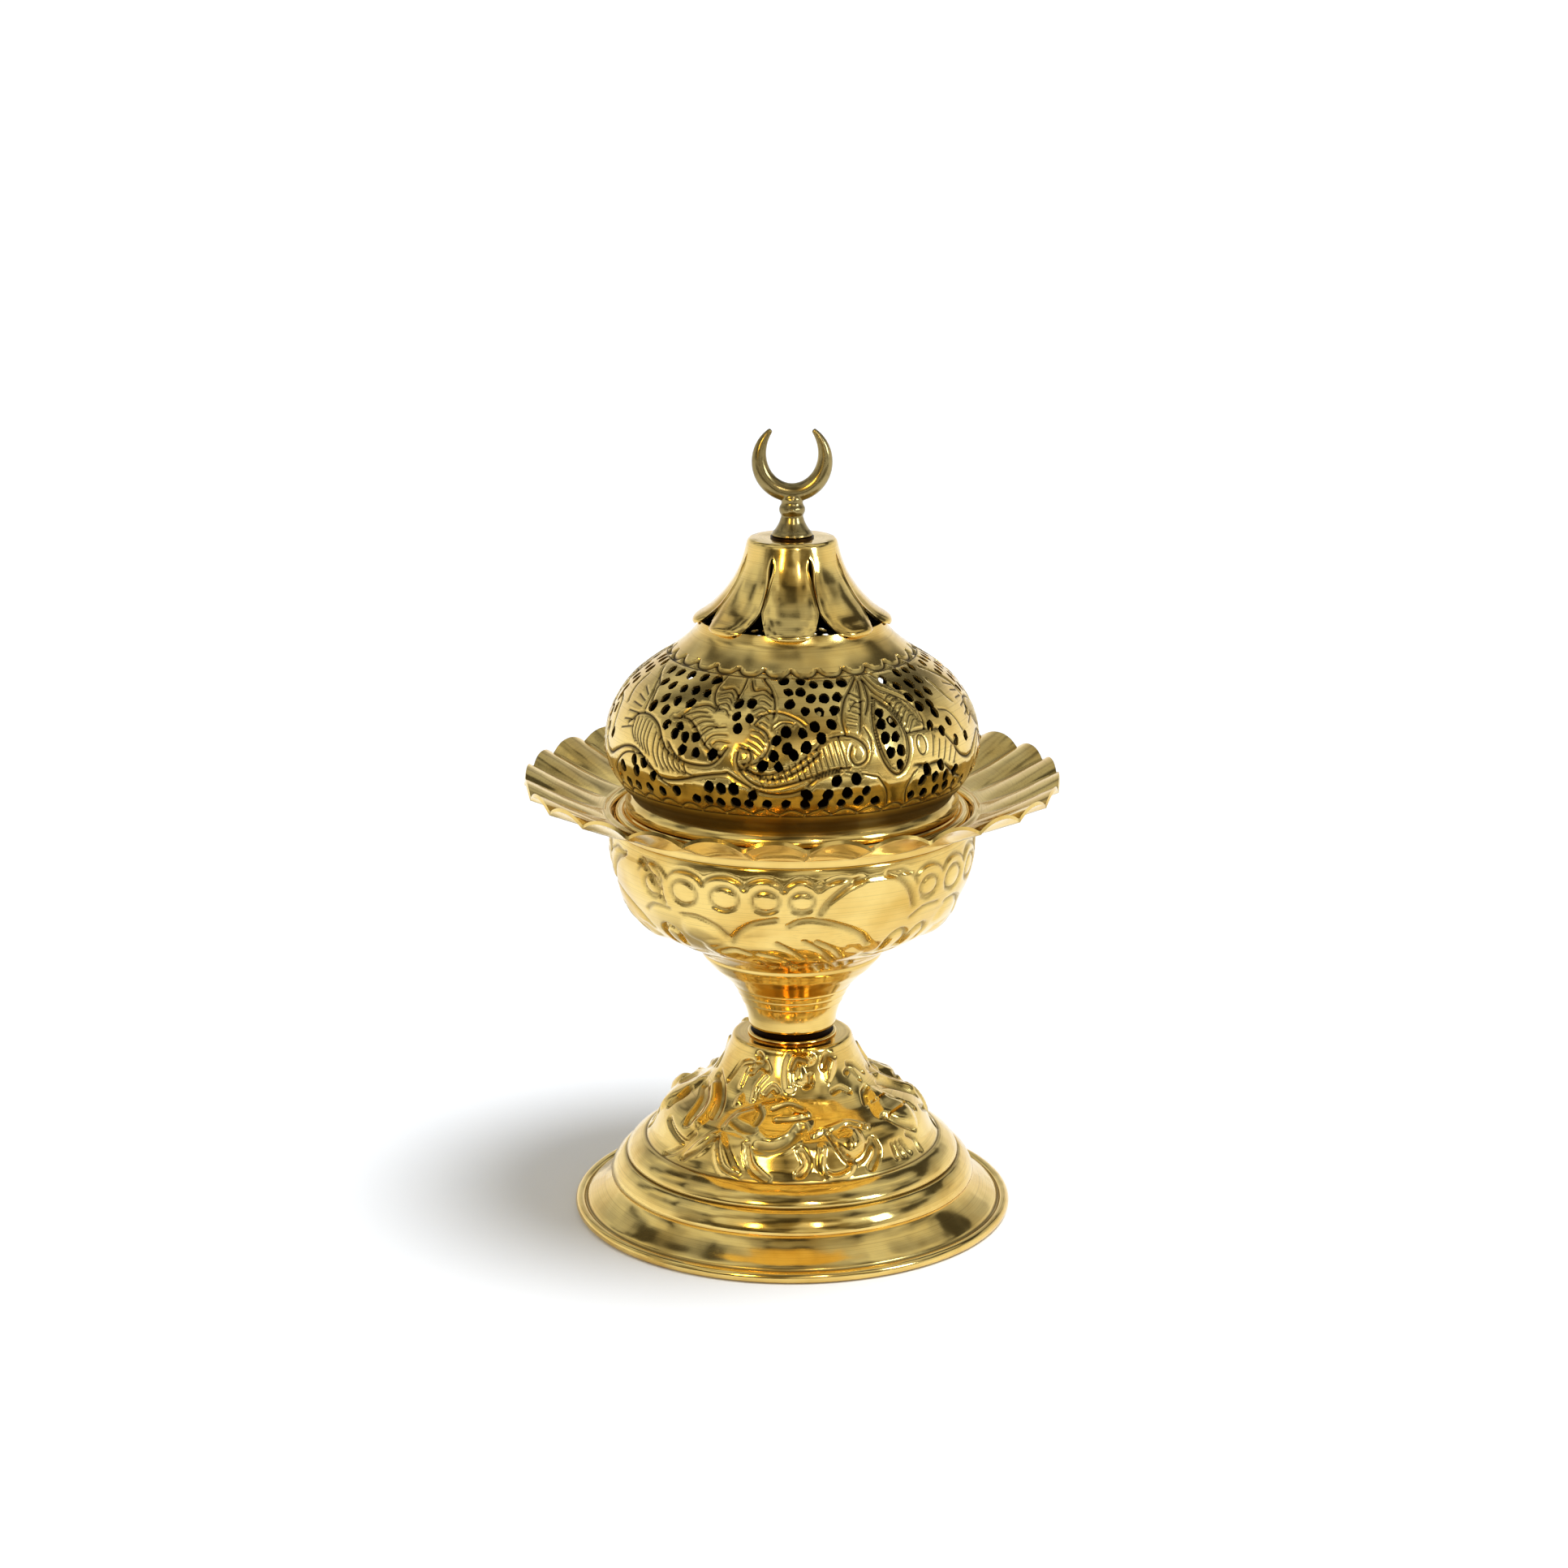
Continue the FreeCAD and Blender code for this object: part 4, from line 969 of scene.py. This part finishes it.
    # Lower right leaf with its eye.
    line(*bold, [(39, 26.8), (45, 26.8), (52, 26), (57, 22), (61, 18), (66, 16.2), (70, 16.6)],
         [(39.6, 18.4), (45, 17.8), (51, 17.6), (56, 14), (62, 11.6)])
    art.stroke([(43 + 1.9 * math.cos(a), 23.2 + 2.6 * math.sin(a)) for a in np.arange(0, 6.28, 0.9)],
               *fine, closed=True)
    art.hatch([(48.6, 24.6), (47, 20)], [(59, 19.5), (57, 16.5)], 5, *cut)
    line(*fine, [(57, 30.6), (61, 29.6), (64, 26.6), (66, 22.4)], [(64, 39), (65, 34.5), (68, 31)])
    # Arches over the bottom fields.
    line(*fine, [(-66, 9), (-67, 13), (-62, 17.6), (-56, 19.2), (-49, 18.6), (-44, 15), (-39, 13)],
         [(26, 17), (29, 13), (30, 9)], [(8, 17.6), (13, 18.9), (19, 18.6), (25, 17.2)],
         [(37, 8.6), (36, 12.5), (38.6, 16.4), (44, 18.6)])
    return art


def dome_borders():
    """Punched scallops under the collar and the zigzag over the plain lower curve."""
    art = Ornament()
    count = 28
    for k in range(count):
        middle = (k + 0.45) * 360 / count
        half = 180 / count
        arc = [(middle + half * u, 46.7 + 2.2 * abs(u) ** 3) for u in (-1, -0.86, -0.5, 0, 0.5, 0.86, 1)]
        art.stroke(arc, 0.95, 0.55)
    count = 44
    for k in range(count):
        middle = k * 360 / count
        half = 180 / count
        art.stroke([(middle - half, 7.2), (middle - half * 0.3, 8.7), (middle + half * 0.3, 8.7),
                    (middle + half, 7.2)],
                   0.45, 0.26)
    art.ring(46.1, 0.35, 0.2)
    art.ring(6.6, 0.4, 0.2)
    return art


def dome_holes(profile, chance):
    """Every hole as (turn, run, half width in degrees, outline), uneven as a hand punch leaves it."""
    corners = 10
    holes = []
    for centre, stretch in DOME_COPIES:
        for run, first, last, count in HOLE_ROWS:
            for k in range(count):
                turn = centre + (first + (last - first) * k / max(1, count - 1)) * stretch
                turn = (turn + chance.uniform(-0.35, 0.35) + 180) % 360 - 180
                place = run + chance.uniform(-0.3, 0.3)
                # Holes are smaller low down at the back, where the drawing is tighter.
                size = chance.uniform(0.9, 1.12) * (0.68 if abs(turn) > 118 and run < 19 else 1)
                lean = chance.uniform(-0.3, 0.3)
                width = mm("hole_width") / 2 * size * (1 if stretch == 1 else 0.88)
                height = mm("hole_height") / 2 * size
                degree = float(profile.at(place)[0]) * DEGREE
                outline = []
                for c in range(corners):
                    angle = 2 * math.pi * c / corners
                    reach = chance.uniform(0.93, 1.07)
                    x, y = width * reach * math.cos(angle), height * reach * math.sin(angle)
                    outline.append((turn + (x + lean * y) / degree, place + y))
                # Low down at the back there are fewer holes.
                sparse = abs(turn) > 112 and (12 < run < 20 or (run < 27 and k % 2))
                if abs(turn) < 177 and not sparse:
                    holes.append((turn, place, width / degree, height, outline))
    return holes


def near_hole(points, holes, margin):
    """Which places lie within a margin of a hole."""
    hit = np.zeros(len(points), bool)
    for turn, run, width, height, _ in holes:
        across = (points[:, 0] - turn) / (width + margin / (DOME_METRIC * DEGREE))
        along = (points[:, 1] - run) / (height + margin)
        hit |= across ** 2 + along ** 2 < 1
    return hit


def groove_points(strokes, holes, length):
    """Places along the grooves: the bottom of each line and both of its lips."""
    lips = []
    for path, width, _ in strokes:
        flat = np.array(path) * (DOME_METRIC * DEGREE, 1)
        gaps = np.hypot(*np.diff(flat, axis=0).T)
        along = np.append(0, np.cumsum(gaps))
        steps = max(2, round(along[-1] / 0.85))
        spots = np.linspace(0, along[-1], steps + 1)
        x, y = np.interp(spots, along, flat[:, 0]), np.interp(spots, along, flat[:, 1])
        dx, dy = np.gradient(x), np.gradient(y)
        size = np.hypot(dx, dy) + 1e-9
        for side in (-width, 0, width):
            lips.append(np.stack([(x - dy / size * side) / (DOME_METRIC * DEGREE), y + dx / size * side], 1))
    lips = np.concatenate(lips)
    lips[:, 0] = (lips[:, 0] + 180) % 360 - 180
    lips = lips[(lips[:, 1] > 0.8) & (lips[:, 1] < length - 0.8) & (np.abs(lips[:, 0]) < 179.4)]
    return lips[~near_hole(lips, holes, 0.3)]


def plain_points(strokes, holes, length):
    """An even field of places between the grooves, coarser where the metal is plain."""
    rows = [0.0]
    while rows[-1] < length - 1.2:
        plain = rows[-1] < 5.5 or rows[-1] > 49.5
        rows.append(rows[-1] + (1.3 if plain else 0.8))
    rows[-1] = length
    field = []
    for index, run in enumerate(rows):
        count = 240 if run < 5.5 or run > 49.5 else 384
        shift = 0.5 if index % 2 and 0 < run < length else 0
        field += [(-180 + (k + shift) * 360 / count, run) for k in range(count + 1) if k + shift <= count]
    field = np.array(field)
    scale = np.full(len(field), DOME_METRIC)
    crowded = near_hole(field, holes, 0.35)
    for path, width, _ in strokes:
        crowded |= distances(path, field[:, 0], field[:, 1], scale, width + 0.3) < width + 0.28
    edge = (np.abs(np.abs(field[:, 0]) - 180) < 1e-6) | (field[:, 1] == 0) | (field[:, 1] == length)
    return field[edge | ~crowded]


class BURNER_OT_dome(bpy.types.Operator):
    """Pierce and engrave the dome: triangulate a flat drawing and wrap it round the turned form"""

    bl_idname = "burner.add_dome"
    bl_label = "Pierced dome"

    def execute(self, context):
        base = seat("lid_dome")
        chance = random.Random(7)
        profile = Profile(DOME_LINE, 0.5)
        length = float(profile.length[-1])
        holes = dome_holes(profile, chance)
        art, borders = dome_ornament(), dome_borders()
        art.strokes += borders.strokes

        field = plain_points(art.strokes, holes, length)
        lips = groove_points(art.strokes, holes, length)
        points = [Vector((t * DOME_METRIC * DEGREE, s)) for t, s in np.concatenate([field, lips])]
        edges = []
        for *_, outline in holes:
            start = len(points)
            points += [Vector((t * DOME_METRIC * DEGREE, s)) for t, s in outline]
            edges += [(start + k, start + (k + 1) % len(outline)) for k in range(len(outline))]
        spots, _, faces, *_ = delaunay_2d_cdt(points, edges, [], 0, 1e-4)
        flat = np.array([(p.x / (DOME_METRIC * DEGREE), p.y) for p in spots])
        faces = np.array([f for f in faces if len(f) == 3])
        middles = flat[faces].mean(axis=1)
        faces = faces[~near_hole(middles, holes, -0.12)]

        radius, height = profile.at(flat[:, 1])
        relief, dark = art.relief(flat[:, 0], flat[:, 1], np.full(len(flat), DOME_METRIC))
        # The under-curve is darkened deep brown: painted shade under the dome's bulge, with some tarnish.
        dark = np.maximum(dark, 0.84 * np.clip((7.8 - flat[:, 1]) / 3.5, 0, 1))
        out_r, out_z = profile.normal(flat[:, 1])
        radius, height = radius + out_r * relief, height + out_z * relief
        angle = flat[:, 0] * DEGREE
        places = np.stack([radius * np.sin(angle), -radius * np.cos(angle), height + base], 1) * MM
        mesh = bpy.data.meshes.new("pierced_dome")
        mesh.from_pydata(places.tolist(), [], faces.tolist())
        piece = bpy.data.objects.new("pierced_dome", mesh)
        bpy.context.collection.objects.link(piece)
        stain_and_shade(piece, dark)
        edit_all(piece)
        bpy.ops.mesh.remove_doubles(threshold=2e-5)
        bpy.ops.mesh.delete_loose()
        bpy.ops.object.mode_set(mode="OBJECT")
        thicken(piece, mm("lid_wall"))
        finish(piece, "lid", material("pierced_brass"), "pierced_brass", "lid_dome", angle=50)
        return {"FINISHED"}


CAP_LINE = [
    [(24.4, 0.7), (24.9, 0.2), (25.5, 0.3), (25.8, 1.0), (25.4, 1.9), (24.2, 2.8), (22.6, 3.8), (20.9, 5.1),
     (19.2, 6.8), (17.5, 8.7), (16.1, 10.6), (14.8, 12.6), (13.8, 14.6), (13.0, 16.6), (12.4, 18.6),
     (11.9, 20.6),
     (11.6, 21.7)],
    [(11.2, 22.2), (10.9, 22.4)],
]


class BURNER_OT_petal_cap(bpy.types.Operator):
    """Shape one petal, repeat it round the cap and close it with the crown"""

    bl_idname = "burner.add_petal_cap"
    bl_label = "Petal cap"

    def execute(self, context):
        base = seat("petal_cap")
        count = number("petals")
        profile = Profile(CAP_LINE, 0.5)
        length = float(profile.length[-1])
        half = 180 / count
        slit_top = length - 3.6
        columns, rows = 46, 70
        bpy.ops.object.select_all(action="DESELECT")
        bpy.ops.mesh.primitive_grid_add(x_subdivisions=columns, y_subdivisions=rows, size=2 * MM)
        petal = bpy.context.object
        flat = np.empty(len(petal.data.vertices) * 3)
        petal.data.vertices.foreach_get("co", flat)
        across, up = flat.reshape(-1, 3)[:, 0] / MM, (flat.reshape(-1, 3)[:, 1] / MM + 1) / 2
        # The end of a petal is rounded, so the run of its sides starts higher.
        lift = 3.2 * np.abs(across) ** 4 * (1 - up) ** 6
        run = np.clip(up * length + lift, 0, length)
        radius, height = profile.at(run)
        out_r, out_z = profile.normal(run)
        # The slit is a hairline that opens to a notch at the foot and a narrow window at the top.
        notch = 4.3 * np.clip(1 - (run - 2.2) / 8.5, 0, 1) ** 1.25
        window = 0.42 * np.exp(-((run - slit_top + 3.2) / 2.4) ** 2)
        gap = (0.22 + notch + window) * np.clip((slit_top - run) / 0.6, 0, 1)
        width = half - np.degrees(gap / radius)
        # Each petal is crowned: its sides fold in towards the slit, most of all near the foot.
        below = np.clip((slit_top + 1 - run) / 5, 0, 1)
        fold = below * (0.45 + 1.0 * np.clip(1 - run / 18, 0, 1)) * np.abs(across) ** 3
        flat_front = 0.35 * radius * (1 / np.cos(np.radians(across * half)) - 1) * np.clip(run / 10, 0,
                                                                                           1) * below
        # The shears have turned up a fine lip along each slit.
        lip = 0.28 * below * np.exp(-((1 - np.abs(across)) / 0.06) ** 2) * np.clip((run - 5) / 3, 0, 1)
        rise = flat_front - fold + lip
        radius = radius + out_r * rise
        height = height + out_z * rise
        petals = []
        for k in range(count):
            copy = petal.copy()
            copy.data = petal.data.copy()
            bpy.context.collection.objects.link(copy)
            middle = -1.5 + k * 360 / count
            # The slits at the back are closed up tighter than those in front.
            behind = np.abs((middle + across * half + 180) % 360 - 180) > 90
            angle = (middle + across * np.where(behind, half * 0.7 + width * 0.3, width)) * DEGREE
            places = np.stack([radius * np.sin(angle), -radius * np.cos(angle), height + base], 1) * MM
            copy.data.vertices.foreach_set("co", places.ravel())
            petals.append(copy)
        bpy.data.objects.remove(petal)
        crown = lathe("crown", [(10.9, 22.4), (9.4, 22.45), (7.0, 22.42), (5.8, 22.4), (1.7, 22.4)], base,
                      count * (columns - 1), closed=False)
        turn = math.radians(-1.5 - half)
        edit_all(crown)
        bpy.ops.transform.rotate(value=-turn, orient_axis="Z", center_override=(0, 0, 0))
        bpy.ops.object.mode_set(mode="OBJECT")
        cap = join(petals + [crown], "petal_cap_sheet")
        edit_all(cap)
        bpy.ops.mesh.remove_doubles(threshold=3e-5)
        bpy.ops.mesh.normals_make_consistent(inside=False)
        bpy.ops.object.mode_set(mode="OBJECT")
        turn_outwards(cap)
        stain_and_shade(cap, np.zeros(len(cap.data.vertices)))
        thicken(cap, mm("lid_wall") * 0.9)
        finish(cap, "lid", material("spun_brass"), "polished_brass", "petal_cap", angle=45)
        return {"FINISHED"}


def turn_outwards(piece):
    """Flip an open sheet whose faces point at the axis."""
    outward = sum(f.normal.dot(Vector((f.center.x, f.center.y, abs(f.center.x) + abs(f.center.y)))) * f.area
                  for f in piece.data.polygons)
    if outward < 0:
        edit_all(piece)
        bpy.ops.mesh.flip_normals()
        bpy.ops.object.mode_set(mode="OBJECT")


class BURNER_OT_finial(bpy.types.Operator):
    """Cast the crescent finial: stem and horns are grown together and smoothed"""

    bl_idname = "burner.add_finial"
    bl_label = "Crescent finial"

    def execute(self, context):
        base = top("finial_washer")
        stem = lathe("stem", [
            (0, -5.6), (1.5, -5.6), (1.5, 0), (5.3, 0), (5.35, 0.5), (5.0, 1.1), (4.4, 1.7), (3.9, 2.5),
            (3.35, 3.5),
            (3.0, 4.6), (2.75, 5.3), (3.1, 5.8), (3.4, 6.6), (3.35, 7.4), (2.9, 8.1), (2.7, 8.8),
            (2.9, 9.6), (2.2, 11.0),
            (0, 11.2)], base, 48, closed=False)
        outer, root, tip = 10.4, 2.45, 0.6
        sweep = math.radians(147)
        centre = base + 8.7 + outer
        curve = bpy.data.curves.new("horn", "CURVE")
        curve.dimensions = "3D"
        curve.bevel_depth = MM
        curve.bevel_resolution = 6
        curve.use_fill_caps = True
        spline = curve.splines.new("POLY")
        steps = 48
        spline.points.add(steps)
        for k, point in enumerate(spline.points):
            turn = sweep * (2 * k / steps - 1)
            section = tip + (root - tip) * (1 - abs(turn / sweep) ** 3.0)
            reach = outer - section
            point.co = (reach * math.sin(turn) * MM, 0, (centre - reach * math.cos(turn)) * MM, 1)
            point.radius = section
        horn = bpy.data.objects.new("horn", curve)
        bpy.context.collection.objects.link(horn)
        select_only(horn)
        bpy.ops.object.convert(target="MESH")
        horn = bpy.context.object
        bpy.ops.mesh.primitive_ico_sphere_add(
            subdivisions=3, radius=0.85 * MM, location=(0, -3.1 * MM, (base + 7.0) * MM))
        knob = bpy.context.object
        select_only(knob)
        bpy.ops.object.transform_apply()
        finial = join([stem, horn, knob], "crescent_finial")
        edit_all(finial)
        bpy.ops.mesh.remove_doubles(threshold=1e-6)
        bpy.ops.object.mode_set(mode="OBJECT")
        apply_modifier(finial, "REMESH", mode="VOXEL", voxel_size=0.26 * MM)
        apply_modifier(finial, "SMOOTH", factor=0.5, iterations=5)
        finish(finial, "lid", material("cast_brass"), "cast_brass", "finial", angle=80)
        return {"FINISHED"}


class BURNER_OT_hardware(bpy.types.Operator):
    """Give the bolts, nuts and washers their finishes"""

    bl_idname = "burner.finish_hardware"
    bl_label = "Hardware finishes"

    def execute(self, context):
        finishes = {
            "finial_washer": "dark_brass", "tie_bolt": "plated_steel",
            "bowl_washer": "plated_steel", "foot_washer": "plated_steel", "foot_nut": "plated_steel",
            "cap_washer": "plated_steel", "finial_nut": "plated_steel",
        }
        for node, name in finishes.items():
            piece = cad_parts[node]
            for slot in piece.material_slots:
                slot.material = material(name)
        return {"FINISHED"}


# ---------------------------------------------------------------- stage

def panel_light(name, place, target, width, height, power, colour):
    """A rectangular soft light aimed at a point, in metres."""
    lamp = bpy.data.lights.new(name, "AREA")
    lamp.shape = "RECTANGLE"
    lamp.size, lamp.size_y = width, height
    lamp.energy = power
    lamp.color = rgb(colour)[:3]
    obj = bpy.data.objects.new(name, lamp)
    obj.location = place
    obj.rotation_euler = (Vector(target) - Vector(place)).to_track_quat("-Z", "Y").to_euler()
    bpy.context.collection.objects.link(obj)
    # The panels are only there to be mirrored in the brass.
    obj.visible_diffuse = False
    return obj


def studio_world():
    """Soft surroundings: bright low down behind and beside the burner, dim on the viewer's side."""
    world = bpy.data.worlds.new("studio")
    world.use_nodes = True
    tree = world.node_tree
    background = tree.nodes["Background"]
    direction = add_node(tree, "ShaderNodeTexCoord").outputs["Generated"]
    split = add_node(tree, "ShaderNodeSeparateXYZ", {"Vector": direction})
    behind = add_node(tree, "ShaderNodeMapRange", {
        "Value": split.outputs["Y"], "From Min": -0.75, "From Max": 0.0}, interpolation_type="SMOOTHSTEP")
    high = add_node(tree, "ShaderNodeMapRange", {
        "Value": split.outputs["Z"], "From Min": 0.12, "From Max": 0.5}, interpolation_type="SMOOTHSTEP")
    front = add_node(tree, "ShaderNodeMix", {
        "Factor": high.outputs["Result"], "A": rgb("57513D"), "B": rgb("968D74")}, data_type="RGBA")
    back = add_node(tree, "ShaderNodeMix", {
        "Factor": high.outputs["Result"], "A": rgb("FFFFFF"), "B": rgb("B4B7BA")}, data_type="RGBA")
    mix = add_node(tree, "ShaderNodeMix", {
        "Factor": behind.outputs["Result"], "A": front.outputs["Result"], "B": back.outputs["Result"]},
        data_type="RGBA")
    # Vague dark and pale shapes of a room, overhead and on the viewer's side, for the brass to mirror.
    low = add_node(tree, "ShaderNodeMath", {0: 1.0, 1: high.outputs["Result"]}, operation="SUBTRACT")
    plain = add_node(tree, "ShaderNodeMath", {0: behind.outputs["Result"], 1: low.outputs[0]},
                     operation="MULTIPLY")
    room = add_node(tree, "ShaderNodeMath", {0: 1.0, 1: plain.outputs[0]}, operation="SUBTRACT")
    shapes = add_node(tree, "ShaderNodeTexNoise", {"Vector": direction, "Scale": 3.0, "Detail": 1.5})
    for low_end, high_end, shade in ((0.51, 0.63, "E6E8E4"), (0.47, 0.36, "241F12")):
        share = add_node(tree, "ShaderNodeMapRange", {
            "Value": shapes.outputs["Fac"], "From Min": low_end, "From Max": high_end,
            "To Max": 0.9}, interpolation_type="SMOOTHSTEP")
        share = add_node(tree, "ShaderNodeMath", {0: share.outputs["Result"], 1: room.outputs[0]},
                         operation="MULTIPLY")
        mix = add_node(tree, "ShaderNodeMix", {
            "Factor": share.outputs[0], "A": mix.outputs["Result"], "B": rgb(shade)}, data_type="RGBA")
    tree.links.new(mix.outputs["Result"], background.inputs["Color"])
    background.inputs["Strength"].default_value = 1.0
    return world


def sun(name, elevation, azimuth, angle, strength):
    """A wide, distant light; azimuth turns from the front towards the right."""
    lamp = bpy.data.lights.new(name, "SUN")
    lamp.angle = math.radians(angle)
    lamp.energy = strength
    obj = bpy.data.objects.new(name, lamp)
    up, turn = math.radians(elevation), math.radians(azimuth)
    source = Vector((math.sin(turn) * math.cos(up), -math.cos(turn) * math.cos(up), math.sin(up)))
    obj.rotation_euler = source.to_track_quat("Z", "Y").to_euler()
    bpy.context.collection.objects.link(obj)
    return obj


class BURNER_OT_stage(bpy.types.Operator):
    """Set up the floor, the lights, the surroundings and the camera"""

    bl_idname = "burner.set_stage"
    bl_label = "Stage"

    def execute(self, context):
        scene = context.scene
        bpy.ops.object.select_all(action="DESELECT")
        bpy.ops.mesh.primitive_plane_add(size=80)
        floor = context.object
        floor.name = "floor"
        paint = bpy.data.materials.new("floor_paper")
        paint.use_nodes = True
        shader = paint.node_tree.nodes["Principled BSDF"]
        shader.inputs["Base Color"].default_value = tone("floor")
        shader.inputs["Roughness"].default_value = 0.9
        shader.inputs["Specular IOR Level"].default_value = 0.1
        shader.inputs["Emission Color"].default_value = tone("floor")
        shader.inputs["Emission Strength"].default_value = 0.06
        floor.data.materials.append(paint)
        # A dark card lies on the floor under the camera. Only the brass sees it.
        bpy.ops.mesh.primitive_plane_add(size=1, location=(0, -1.02, 0.0005))
        card = context.object
        card.name = "shade_card"
        edit_all(card)
        bpy.ops.transform.resize(value=(2.6, 1.2, 1), center_override=(0, -1.02, 0))
        bpy.ops.object.mode_set(mode="OBJECT")
        felt = bpy.data.materials.new("card_felt")
        felt.use_nodes = True
        felt.node_tree.nodes["Principled BSDF"].inputs["Base Color"].default_value = rgb("5A5440")
        felt.node_tree.nodes["Principled BSDF"].inputs["Roughness"].default_value = 1.0
        card.data.materials.append(felt)
        for ray in ("camera", "diffuse", "shadow", "transmission"):
            setattr(card, f"visible_{ray}", False)
        scene.world = studio_world()
        middle = (0, 0, 0.1)
        # The sun only lights the floor; the brass gets its highlights from the small panels.
        sun("key", 73, 68, 30, 2.5).visible_glossy = False
        panel_light("window", (1.0, -0.62, 0.62), middle, 0.22, 0.34, 5, "DCEBFF")
        panel_light("lamp", (-0.46, -1.0, 0.62), middle, 0.14, 0.30, 3.4, "FFDC7A")
        panel_light("strip", (0.30, -1.05, 0.80), middle, 0.06, 0.30, 1.6, "FFF6E8")
        camera_data = bpy.data.cameras.new("camera")
        camera_data.sensor_width = 36
        camera_data.lens = 76.1366
        camera_data.shift_x = -0.00518
        camera_data.shift_y = 0.03778
        camera_data.clip_end = 200
        camera = bpy.data.objects.new("camera", camera_data)
        camera.location = (0, -0.840, 0.338)
        camera.rotation_euler = (math.radians(90 - 15.8), 0, 0)
        context.collection.objects.link(camera)
        scene.camera = camera
        scene.view_settings.view_transform = "Standard"
        return {"FINISHED"}


# ---------------------------------------------------------------- add-on

class BURNER_PT_panel(bpy.types.Panel):
    """Lists the pieces of the incense burner"""

    bl_idname = "BURNER_PT_panel"
    bl_label = "Incense Burner"
    bl_space_type = "VIEW_3D"
    bl_region_type = "UI"
    bl_category = "Incense Burner"

    def draw(self, context):
        for group in (context.scene.burner_sizes, context.scene.burner_colours):
            box = self.layout.box()
            for name in group.__annotations__:
                box.prop(group, name)
        for operator in OPERATORS:
            self.layout.operator(operator.bl_idname)


OPERATORS = (
    BURNER_OT_foot, BURNER_OT_spacer, BURNER_OT_neck, BURNER_OT_bowl, BURNER_OT_plate, BURNER_OT_cup,
    BURNER_OT_hem,
    BURNER_OT_dome, BURNER_OT_petal_cap, BURNER_OT_finial, BURNER_OT_hardware, BURNER_OT_stage,
)
CLASSES = (BurnerSizes, BurnerColours, *OPERATORS, BURNER_PT_panel)


def register():
    for entry in CLASSES:
        bpy.utils.register_class(entry)
    bpy.types.Scene.burner_sizes = bpy.props.PointerProperty(type=BurnerSizes)
    bpy.types.Scene.burner_colours = bpy.props.PointerProperty(type=BurnerColours)


def unregister():
    del bpy.types.Scene.burner_sizes
    del bpy.types.Scene.burner_colours
    for entry in reversed(CLASSES):
        bpy.utils.unregister_class(entry)


def main():
    register()
    for operator in OPERATORS:
        group, name = operator.bl_idname.split(".")
        getattr(getattr(bpy.ops, group), name)()


if __name__ == "__main__":
    main()
